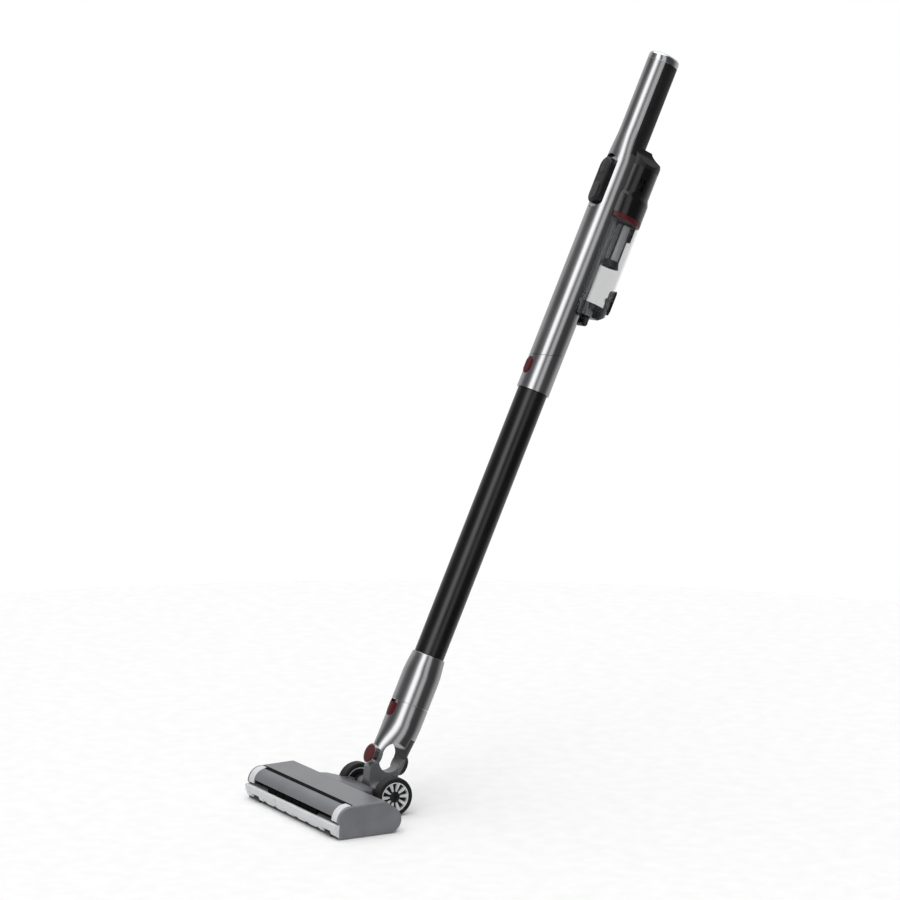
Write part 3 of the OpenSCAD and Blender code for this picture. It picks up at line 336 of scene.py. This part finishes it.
def put(piece, name, node, where=STICK, coat=None, skin=None):
    """Names a piece, carries it to its place, gives it its finish and lets it ride in the node's place."""
    coat = coat or PARTS[node]
    piece.name = name
    piece.data.name = name
    settle(piece, where @ piece.matrix_world)
    piece.data.materials.clear()
    piece.data.materials.append(FINISHES[skin or coat])
    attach(piece, BODY_OF[node])
    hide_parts(node)
    rest()
    return piece


def raised(count, sections, wall=0.0, closed=False, capped=False):
    """A ring drawn up through (half width, half depth, offset back, height) sections, in mm."""
    wide, deep, back, height = sections[0]
    rest()
    bpy.ops.mesh.primitive_circle_add(vertices=count, radius=1.0, location=(0, 0, 0))
    piece = bpy.context.object
    piece.scale = (wide * MM, deep * MM, 1)
    piece.location = (0, back * MM, height * MM)
    settle(piece)
    bpy.ops.object.mode_set(mode="EDIT")
    bpy.ops.mesh.select_mode(type="VERT")
    bpy.ops.mesh.select_all(action="SELECT")
    for next_wide, next_deep, next_back, next_height in sections[1:]:
        bpy.ops.mesh.extrude_region_move(TRANSFORM_OT_translate={
            "value": (0, (next_back - back) * MM, (next_height - height) * MM)})
        bpy.ops.transform.resize(value=(next_wide / wide, next_deep / deep, 1),
                                 center_override=(0, next_back * MM, next_height * MM))
        wide, deep, back, height = next_wide, next_deep, next_back, next_height
    if capped:
        bpy.ops.mesh.edge_face_add()
        pick(piece, lambda at, _: abs(at.z - sections[0][3]) < 0.001)
        bpy.ops.mesh.edge_face_add()
    if closed:
        bpy.ops.mesh.select_all(action="SELECT")
        bpy.ops.mesh.remove_doubles(threshold=0.001 * MM)
    bpy.ops.mesh.select_all(action="SELECT")
    bpy.ops.mesh.normals_make_consistent(inside=False)
    rest()
    if wall:
        apply(piece, "SOLIDIFY", thickness=wall * MM, offset=-1.0, use_even_offset=True)
    return piece


def turned(profile):
    """A solid of revolution from a closed outline of (radius, height) points in mm."""
    return raised(96, [(r, r, 0, h) for r, h in profile + profile[:1]], closed=True)


def block(low, high):
    """A box between two corners in mm, used as a cutter."""
    rest()
    middle = [(a + b) / 2 * MM for a, b in zip(low, high)]
    bpy.ops.mesh.primitive_cube_add(size=1.0, location=middle)
    bpy.context.object.scale = [(b - a) * MM for a, b in zip(low, high)]
    return settle(bpy.context.object)


def drum(count, radius, depth, middle, turn):
    """A plain cylinder used as a cutter, in mm, with its turn in degrees."""
    rest()
    bpy.ops.mesh.primitive_cylinder_add(vertices=count, radius=radius * MM, depth=depth * MM,
                                        location=[c * MM for c in middle],
                                        rotation=[radians(a) for a in turn])
    return bpy.context.object


def stadium(width, length, front, back, height, crown=0.0, rim=0.0):
    """A round-ended plate across the stick, from `front` to `back`, in mm, its face domed by `crown`."""
    rest()
    bpy.ops.mesh.primitive_cylinder_add(vertices=50, radius=width / 2 * MM, depth=(back - front) * MM)
    piece = bpy.context.object
    for side in (-1, 1):
        pick(piece, lambda at, _: at.y * side > 0)
        bpy.ops.transform.translate(value=(0, side * (length - width) / 2 * MM, 0))
    if crown:
        pick(piece, lambda at, facing: facing.z > 0.5, "FACE")
        bpy.ops.mesh.inset(thickness=rim * MM)
        bpy.ops.transform.translate(value=(0, 0, crown * MM))
        bpy.ops.mesh.inset(thickness=rim * MM)
        bpy.ops.transform.translate(value=(0, 0, crown * 0.35 * MM))
    rest()
    return settle(piece, Matrix.Translation((0, (front + back) / 2 * MM, height * MM))
                  @ Matrix.Rotation(radians(90), 4, "X"))


def trim(piece, at, normal):
    """Cuts a piece at a plane, in mm, and keeps what lies behind the normal."""
    edit(piece)
    bpy.ops.mesh.select_all(action="SELECT")
    bpy.ops.mesh.bisect(plane_co=[c * MM for c in at], plane_no=normal, clear_outer=True, use_fill=True)
    rest()
    return piece


def join(pieces):
    """Joins pieces into the first one."""
    rest()
    for piece in pieces:
        piece.select_set(True)
    bpy.context.view_layer.objects.active = pieces[0]
    bpy.ops.object.join()
    return pieces[0]


def own_solid(node, name, place=FLAT):
    """A part's own solid as a new piece, carried to a place, with its loose triangles merged."""
    rest()
    piece = bpy.data.objects.new(name, frame["nodes"][node].data.copy())
    bpy.context.scene.collection.objects.link(piece)
    settle(piece, place)
    edit(piece)
    bpy.ops.mesh.select_all(action="SELECT")
    bpy.ops.mesh.remove_doubles(threshold=0.002 * MM)
    bpy.ops.mesh.dissolve_limited(angle_limit=radians(0.6))
    rest()
    return piece


def moulded(node, width, coat=None, skin=None):
    """A part's own solid with its moulded edges rounded."""
    piece = own_solid(node, node)
    ease(piece, width)
    return put(piece, node + "_moulded", node, FLAT, coat, skin)


# ---- Sizes, in mm ----

# Handset: pipe, then heights of the foot, slanted seam, air hole, window, panel, keys, grip and top
PIPE_R, SHELL_WALL = 21.0, 1.8
HAND_LO, COLLAR_MID, COLLAR_TILT = 528.6, 579.0, radians(18.4)
BUTTON_H, CUP_DARK = 557.0, 657.0
AIR_H, DISPLAY_H, PANEL_MID, KEYS_MID = 747.0, 792.0, 807.0, 826.0
GRIP_LO, GRIP_HI, TOP = 850.0, 975.0, 987.0
# Heights over which the pipe eases into the handle, the handle's halves, and how far back the handle sits
BLEND_LO, BLEND_HI = 838.0, 884.0
GRIP_HALF_W, GRIP_HALF_D, GRIP_BACK = 17.0, 21.0, 1.5
# Planes across the stick: the flat for the panel, and the seam between silver and soft grip
FLAT_V, SEAM_V = -15.5, -4.6
# Tube and the sleeve and fork at its foot
TUBE_R, TUBE_IN = 19.0, 17.7
CONN_H, SLEEVE_FLOOR, SEAM_H, CONN_R = 175.6, 143.1, 111.0, 23.8
HEAD_BUTTON_H, POD_TOP, ARCH_H, SWIVEL_H = 101.9, 72, 47.5, 38.0
# Wheels, from their inner to their outer face
WHEEL_IN, WHEEL_OUT = 40.0, 54.0
# Head: middle of its curved covers, brush roll, lip, teeth, rollers and lamps
ROLL_BACK, ROLL_UP = 20, 21
BRUSH_BACK, BRUSH_UP = 23, 16.5
COVER_HALF = 107.4
LIP_TOP, LIP_HALF = 18.6, 124.0
TOOTH_PITCH, ROLLER_X = 29, 98
LAMPS, LAMP_PITCH, LAMP_HALF = 6, 22.5, 10.3

# ---- Handset ----


def handle_sections(low, high, steps_up=9):
    """Sections of the pipe as it eases into the handle."""
    rows = [(PIPE_R, PIPE_R, 0.0, low), (PIPE_R, PIPE_R, 0.0, BLEND_LO)] if low < BLEND_LO else []
    for i in range(1, steps_up + 1):
        t = i / steps_up
        s = t * t * (3 - 2 * t)
        height = BLEND_LO + t * (BLEND_HI - BLEND_LO)
        if height > low:
            rows.append((PIPE_R + s * (GRIP_HALF_W - PIPE_R), PIPE_R + s * (GRIP_HALF_D - PIPE_R),
                         s * GRIP_BACK, height))
    return rows + [(GRIP_HALF_W, GRIP_HALF_D, GRIP_BACK, high)]


def silver_shell():
    """Pipe and front of the handle in one sprayed shell, with a slanted foot and a flat for the controls."""
    shell = raised(112, handle_sections(HAND_LO + 20, GRIP_HI), wall=SHELL_WALL)
    trim(shell, (0, 0, COLLAR_MID), (0, sin(COLLAR_TILT), -cos(COLLAR_TILT)))
    carve(shell, block((-40, SEAM_V, GRIP_LO), (40, 60, 1100)))
    carve(shell, stadium(32, 73, -60, FLAT_V, PANEL_MID))
    carve(shell, stadium(18, 18, 5, 60, AIR_H))
    ease(shell, 0.35, angle=24)
    seat = raised(112, [(20.6, 20.6, 0, 766), (20.6, 20.6, 0, 848)], capped=True)
    carve(seat, block((-40, -60, 700), (40, FLAT_V, 900)))
    carve(seat, block((-40, FLAT_V + SHELL_WALL, 700), (40, 60, 900)))
    ease(seat, 0.2)
    put(join([shell, seat]), "silver_pipe_and_handle", "main_shell")


def soft_grip():
    """Rear of the handle, with its edge set a hair behind the silver."""
    grip = raised(112, handle_sections(GRIP_LO - 12, GRIP_HI - 0.2), wall=2.2)
    carve(grip, block((-40, -60, 700), (40, SEAM_V + 0.25, 1100)))
    carve(grip, block((-40, -60, 700), (40, 60, GRIP_LO + 0.3)))
    ease(grip, 0.5, angle=30)
    put(grip, "soft_rear_grip", "rear_grip")


def cup():
    """Clear cup whose foot, below the flow guide, is smoked dark."""
    above = (-80, -80, CUP_DARK), (80, 120, 1000)
    below = (-80, -80, 0), (80, 120, CUP_DARK + 0.05)
    for name, away, skin in (("clear_cup_wall", below, None), ("smoked_cup_foot", above, "smoke_door")):
        wall = own_solid("cup_shell", name, STICK.inverted())
        carve(wall, block(*away))
        ease(wall, 0.25)
        put(wall, name, "cup_shell", skin=skin)


def end_cap():
    """Plated cap with a softly domed top."""
    wide, deep = GRIP_HALF_W, GRIP_HALF_D
    rows = [(2.6, GRIP_HI - 4), (2.6, GRIP_HI - 0.1), (0.4, GRIP_HI - 0.1), (0, GRIP_HI + 0.3),
            (0, TOP - 5.6), (0.6, TOP - 3.6), (2.0, TOP - 2.2), (4.4, TOP - 1.3), (10, TOP - 0.6)]
    cap = raised(112, [(wide - d, deep - d, GRIP_BACK, h) for d, h in rows], capped=True)
    ease(cap, 0.15, angle=40)
    put(cap, "plated_end_cap", "handle_end_cap")


def end_collar():
    """Silver collar below the slanted seam, with the window for its button."""
    collar = raised(112, [(PIPE_R, PIPE_R, 0, HAND_LO), (PIPE_R, PIPE_R, 0, COLLAR_MID + 20)], wall=3.0)
    trim(collar, (0, 0, COLLAR_MID - 0.5), (0, -sin(COLLAR_TILT), cos(COLLAR_TILT)))
    carve(collar, stadium(14.6, 22.6, -60, 0, BUTTON_H))
    ease(collar, 0.35, angle=24)
    put(collar, "slanted_end_collar", "pipe_end_collar")
    button = stadium(14, 22, -21.2, -18.3, BUTTON_H, crown=0.45, rim=1.6)
    ease(button, 0.3)
    put(button, "oval_tube_release", "wand_release_button")


def controls():
    """Proud black panel with the opening for the rocker, and its smoked window."""
    panel = stadium(24, 62, -22.2, -15.6, PANEL_MID, crown=0.7, rim=1.4)
    ease(panel, 0.4)
    carve(panel, stadium(13.6, 24.6, -30, -16.5, KEYS_MID))
    put(panel, "gloss_control_panel", "control_panel")
    window = stadium(15.6, 23.6, -23.6, -22.4, DISPLAY_H, crown=0.25, rim=1.0)
    ease(window, 0.2)
    put(window, "smoked_display_window", "display_window")


def buttons():
    """Two halves of the oval rocker, split by a hair line."""
    for node, low, high in (("power_button", 826.15, 839.0), ("mode_button", 812.0, 825.85)):
        key = stadium(13, 24, -22.8, -17.6, KEYS_MID, crown=0.8, rim=1.3)
        ease(key, 0.3)
        carve(key, block((-30, -60, high), (30, 60, 1000)))
        carve(key, block((-30, -60, 0), (30, 60, low)))
        put(key, node + "_key", node)


# ---- Tube and neck ----

def black_tube():
    """Coated tube with rolled ends."""
    low, high = CONN_H + 0.1, HAND_LO - 0.3
    tube = turned([(TUBE_IN, low + 0.3), (TUBE_IN + 0.3, low), (TUBE_R - 0.5, low), (TUBE_R, low + 0.5),
                   (TUBE_R, 300), (TUBE_R, 420), (TUBE_R, high - 0.5), (TUBE_R - 0.5, high),
                   (TUBE_IN + 0.3, high), (TUBE_IN, high - 0.3)])
    ease(tube, 0.1, angle=40)
    put(tube, "black_extension_tube", "wand_tube")


def silver_sleeve():
    """Flared silver sleeve that takes the foot of the tube."""
    sleeve = turned([
        (TUBE_IN, SLEEVE_FLOOR), (TUBE_IN, CONN_H), (CONN_R - 3.2, CONN_H), (CONN_R - 2.75, CONN_H - 0.5),
        (CONN_R - 1.75, CONN_H - 8.6), (CONN_R - 0.95, CONN_H - 14.6), (CONN_R - 0.35, CONN_H - 20.6),
        (CONN_R, CONN_H - 27), (CONN_R, SEAM_H + 1.0), (CONN_R - 0.5, SEAM_H + 0.4),
        (19.8, SEAM_H + 0.4), (19.8, SLEEVE_FLOOR)])
    ease(sleeve, 0.1, angle=50)
    put(sleeve, "silver_tube_sleeve", "connector_sleeve")


def wheels():
    """Wheels with ten pale wedge spokes over a dark disc, a black hub and round-shouldered tyres."""
    low, high = WHEEL_IN, WHEEL_OUT
    for side, out in (("left", -1), ("right", 1)):
        lay = Matrix.Translation((0, 0, AXLE_UP * MM)) @ Matrix.Rotation(radians(90) * out, 4, "Y")
        tyre = turned([(18.2, low), (22.2, low), (23.5, low + 0.7), (24, low + 2.2), (24, high - 2.2),
                       (23.5, high - 0.7), (22.4, high), (20.6, high), (20.4, high - 0.35),
                       (20.0, high - 0.35), (19.8, high), (18.2, high - 0.1)])
        ease(tyre, 0.1, angle=45)
        put(tyre, side + "_round_tyre", side + "_tyre", lay)
        ring = turned([(16.9, low + 0.5), (18.1, low + 0.5), (18.1, high - 0.2), (17.8, high),
                       (17.2, high), (16.9, high - 0.3)])
        spokes = [ring]
        for i in range(10):
            spoke = block((6.4, -1.0, high - 4.2), (17.3, 1.0, high - 1.6))
            pick(spoke, lambda at, _: at.x > 10)
            bpy.ops.transform.resize(value=(1, 2.3, 1), center_override=(0, 0, 0))
            pick(spoke, lambda at, _: at.x > 10 and at.z > high - 3)
            bpy.ops.transform.translate(value=(0, 0, 1.1 * MM))
            rest()
            ease(spoke, 0.35)
            spokes.append(settle(spoke, Matrix.Rotation(radians(36 * i + 18), 4, "Z")))
        put(join(spokes), side + "_spoked_rim", side + "_rim", lay)
        hub = [(3.2, low + 1), (17, low + 1), (17, high - 5), (7.2, high - 4.2), (6.9, high - 1.2),
               (6.2, high - 0.5), (5.2, high - 0.3), (4.9, high - 0.7), (4.2, high - 0.7),
               (3.6, high - 0.35), (1.2, high - 0.1)]
        disc = raised(64, [(r, r, 0, h) for r, h in hub], capped=True)
        ease(disc, 0.1, angle=50)
        put(disc, side + "_dark_wheel_disc", side + "_rim", lay, coat="black_satin")


def fork():
    """Silver lower connector: round at the top, slimmer at the swivel, with an arch between its arms."""
    rows = [(23.8, 23.8, 0, SEAM_H), (23.8, 23.8, 0, 92), (23.2, 23.8, 0, 84), (21.3, 24.0, -0.2, 75),
            (18.6, 24.2, -0.8, 66), (16.0, 24.4, -1.4, 57), (14.0, 24.7, -1.9, 48),
            (12.8, 25.2, -2.6, SWIVEL_H), (12.0, 25.0, -2.6, 31), (9.5, 24.6, -2.6, 27)]
    body = raised(112, rows[::-1], capped=True)
    for front, back in ((-28.2, -22.4), (17.4, 21.8)):
        boss = stadium(25.2, 25.21, front, back, SWIVEL_H)
        apply(body, "BOOLEAN", object=boss, operation="UNION", solver="EXACT")
        bpy.data.objects.remove(boss)
    carve(body, drum(96, 14.5, 80, (0, -2, ARCH_H), (0, 90, 0)))
    carve(body, block((-40, -16.5, 0), (40, 12.5, ARCH_H)))
    carve(body, block((-40, -22.2, 0), (40, 17.2, 36.0)))
    carve(body, stadium(22.6, 22.61, -60, -26.2, SWIVEL_H))
    carve(body, stadium(17.4, 24.6, -60, -18.8, HEAD_BUTTON_H))
    pod = twin(body)
    carve(body, block((-40, 9.5, 0), (40, 60, POD_TOP)))
    carve(pod, block((-40, -60, 0), (40, 9.8, 200)))
    carve(pod, block((-40, -60, POD_TOP - 0.3), (40, 60, 200)))
    spigot = turned([(TUBE_IN, SEAM_H - 1), (19.4, SEAM_H - 1), (19.4, SEAM_H + 30), (TUBE_IN, SEAM_H + 30)])
    ease(body, 0.5, angle=30)
    ease(pod, 0.6, angle=30)
    put(join([body, spigot]), "silver_fork", "connector_fork")
    put(pod, "grey_rear_pod", "connector_fork", coat="dark_grey")


def discs():
    """Dark-red disc in a thin groove on the front boss, and its grey twin behind."""
    for node, front, back in (("swivel_front_cap", -29.0, -26.2), ("swivel_rear_cap", 20.3, 22.4)):
        out = -1 if front < 0 else 1
        low, high = (-back, -front) if out < 0 else (front, back)
        disc = raised(72, [(11.3, 11.3, 0, low), (11.3, 11.3, 0, high - 0.5), (11.0, 11.0, 0, high - 0.15),
                           (10.4, 10.4, 0, high), (6, 6, 0, high + 0.08), (2, 2, 0, high + 0.1)], capped=True)
        settle(disc, Matrix.Translation((0, 0, SWIVEL_H * MM)) @ Matrix.Rotation(radians(-90) * out, 4, "X"))
        ease(disc, 0.1, angle=40)
        put(disc, "swivel_disc_front" if out < 0 else "swivel_disc_rear", node)


def bristles():
    """Six rows of nylon tufts round the brush core."""
    rest()
    bpy.ops.mesh.primitive_cone_add(vertices=6, radius1=0.9 * MM, radius2=1.6 * MM, depth=5.9 * MM,
                                    location=(-102 * MM, 0, 12.3 * MM))
    row = bpy.context.object
    pick(row, lambda at, facing: facing.z > 0.5, "FACE")
    bpy.ops.mesh.inset(thickness=0.35 * MM)
    bpy.ops.transform.translate(value=(0, 0, -0.7 * MM))
    rest()
    apply(row, "ARRAY", count=52, use_relative_offset=False, use_constant_offset=True,
          constant_offset_displace=(4 * MM, 0, 0))
    settle(row)
    rows = [row] + [settle(twin(row), Matrix.Rotation(radians(60 * i), 4, "X")) for i in range(1, 6)]
    put(join(rows), "nylon_bristle_rows", "brush_bristles",
        HEAD @ Matrix.Translation((0, BRUSH_BACK * MM, BRUSH_UP * MM)))


def bar(outline, x_low, x_high):
    """A rounded bar across the head from a side outline of (back from the lip, up) points in mm."""
    rest()
    bpy.ops.mesh.primitive_circle_add(vertices=len(outline), radius=1.0)
    piece = bpy.context.object
    for point, (back, up) in zip(piece.data.vertices, outline):
        point.co = (x_low * MM, back * MM, up * MM)
    bpy.ops.object.mode_set(mode="EDIT")
    bpy.ops.mesh.select_mode(type="VERT")
    bpy.ops.mesh.select_all(action="SELECT")
    bpy.ops.mesh.edge_face_add()
    bpy.ops.mesh.extrude_region_move(TRANSFORM_OT_translate={"value": ((x_high - x_low) * MM, 0, 0)})
    bpy.ops.mesh.select_all(action="SELECT")
    bpy.ops.mesh.normals_make_consistent(inside=False)
    rest()
    return piece


def arc(back, up, radius, start, end, count):
    """Points on an arc in the side view, from one angle to another in degrees."""
    turns = [radians(start + (end - start) * i / (count - 1)) for i in range(count)]
    return [(back + radius * cos(t), up + radius * sin(t)) for t in turns]


def crescent(outer, inner, start, end, count, rear=()):
    """Outline of a curved cover round the brush roll, with any corners it has at its rear."""
    return (arc(ROLL_BACK, ROLL_UP, outer, start, end, count) + list(rear)
            + arc(ROLL_BACK, ROLL_UP, inner, end, start, count))


def lip():
    """Bull-nosed lip over a foot with shallow teeth, and a pocket for each roller."""
    nose = arc(1.2, LIP_TOP - 2.7, 2.7, 60, 200, 12)
    front = bar([(6.0, LIP_TOP - 0.4)] + nose
                + [(-0.9, 9.4), (0.2, 8.6), (3.9, 8.6), (3.6, 12), (6.0, LIP_TOP - 2.6)],
                -LIP_HALF - 0.3, LIP_HALF + 0.3)
    ease(front, 0.3, angle=40)
    foot = bar([(0.1, 8.9), (0.6, 6.5), (1.4, 4.6), (2.4, 3.7), (3.4, 3.6), (4.2, 5), (3.9, 8.9)],
               -LIP_HALF, LIP_HALF)
    for i in range(-3, 3):
        carve(foot, drum(64, 14, 30, ((i + 0.5) * TOOTH_PITCH, 0, -8.2), (90, 0, 0)))
    for side in (-1, 1):
        middle = side * ROLLER_X
        carve(foot, block((middle - 9.4, -10, -5), (middle + 9.4, 20, 8.4)))
    ease(foot, 0.15, angle=40)
    put(join([front, foot]), "pale_front_lip", "front_lip", HEAD)


def lamps():
    """Dark lamp bar behind the lip with six sloping black windows."""
    rail = bar([(3.9, 17.2), (3.9, 20.6), (4.6, 21.4), (7.2, 22.2), (7.6, 17.2)], -108, 108)
    ease(rail, 0.4)
    put(rail, "lamp_bar", "led_bar", HEAD, skin="dark_grey")
    windows = []
    for i in range(LAMPS):
        middle = (i - (LAMPS - 1) / 2) * LAMP_PITCH
        window = bar([(2.2, 18.8), (2.4, 23.4), (3.2, 24.4), (5.2, 24.7), (6.0, 18.8)],
                     middle - LAMP_HALF, middle + LAMP_HALF)
        pick(window, lambda at, facing: facing.y < -0.9, "FACE")
        bpy.ops.mesh.inset(thickness=0.7 * MM)
        bpy.ops.transform.translate(value=(0, 0.35 * MM, 0))
        rest()
        ease(window, 0.25)
        windows.append(window)
    put(join(windows), "dark_lamp_windows", "led_lenses", HEAD, coat="black_satin", skin="dull_black_and_gap_shade")


def roll_window():
    """Curved grey cover over the brush roll, from the lamps up to the black strip of painted shade."""
    cover = bar(crescent(17.8, 16.2, 164, 92, 28), -COVER_HALF, COVER_HALF)
    ease(cover, 0.25, angle=40)
    put(cover, "curved_roll_cover", "roller_cover", HEAD)


def strip():
    """Black strip across the top, proud of the gap between roll cover and top cover: painted shade, a dark
    piece standing for the shade in that gap.
    """
    rear = [(24.0, 39.5), (24.5, 39.0), (24.5, 33), (19.4, 33)]
    piece = bar(crescent(18.4, 17.85, 98, 92, 6, rear), 0.2 - COVER_HALF, COVER_HALF - 0.2)
    ease(piece, 0.3)
    put(piece, "black_strip_painted_gap_shade", "head_base", HEAD, coat="black_satin", skin="dull_black_and_gap_shade")


def end_bands():
    """Pale bands that wrap the head's front corners."""
    for side, x_low, x_high in (("left", -120.9, -107.5), ("right", 107.5, 120.9)):
        band = bar(crescent(18.1, 15.6, 180, 84, 30), x_low, x_high)
        ease(band, 0.5, angle=40, segments=3)
        put(band, side + "_pale_end_band", "end_bands", HEAD)


def floor():
    """Round pale floor."""
    rest()
    bpy.ops.mesh.primitive_circle_add(vertices=128, radius=1.7, fill_type="NGON")
    ground = bpy.context.object
    ground.name = "studio_floor"
    ground.data.materials.append(FLOOR)
    ground.visible_glossy = False


camera()
studio()
floor()
for node, solid in frame["nodes"].items():
    solid.data.materials.clear()
    solid.data.materials.append(FINISHES[PARTS[node]])

silver_shell()
soft_grip()
end_cap()
cup()
end_collar()
controls()
buttons()
black_tube()
silver_sleeve()
wheels()
discs()
fork()
bristles()
lip()
lamps()
roll_window()
strip()
end_bands()
# Rounding of each part's moulded edges in mm, then its coat and skin where they differ from its own
for node, width, *looks in (
        ("motor_housing", 0.4, "black_gloss"), ("housing_top_cover", 0.8, "black_satin"),
        ("cup_release_button", 0.4), ("cup_seal_ring", 0.5), ("cyclone_mesh", 0.1), ("cyclone_frame", 0.3),
        ("cup_door", 0.5), ("door_latch", 0.5), ("head_release_button", 0.5),
        ("neck_yoke", 0.6, None, "neck_silver"), ("head_base", 0.3, "black_satin"),
        ("head_top_cover", 0.8), ("side_caps", 0.6), ("sole_plate", 0.3), ("front_rollers", 0.5),
        ("hinge_pins", 0.2), ("wheel_axle", 0.3), ("brush_core", 0.5)):
    moulded(node, width, *looks)
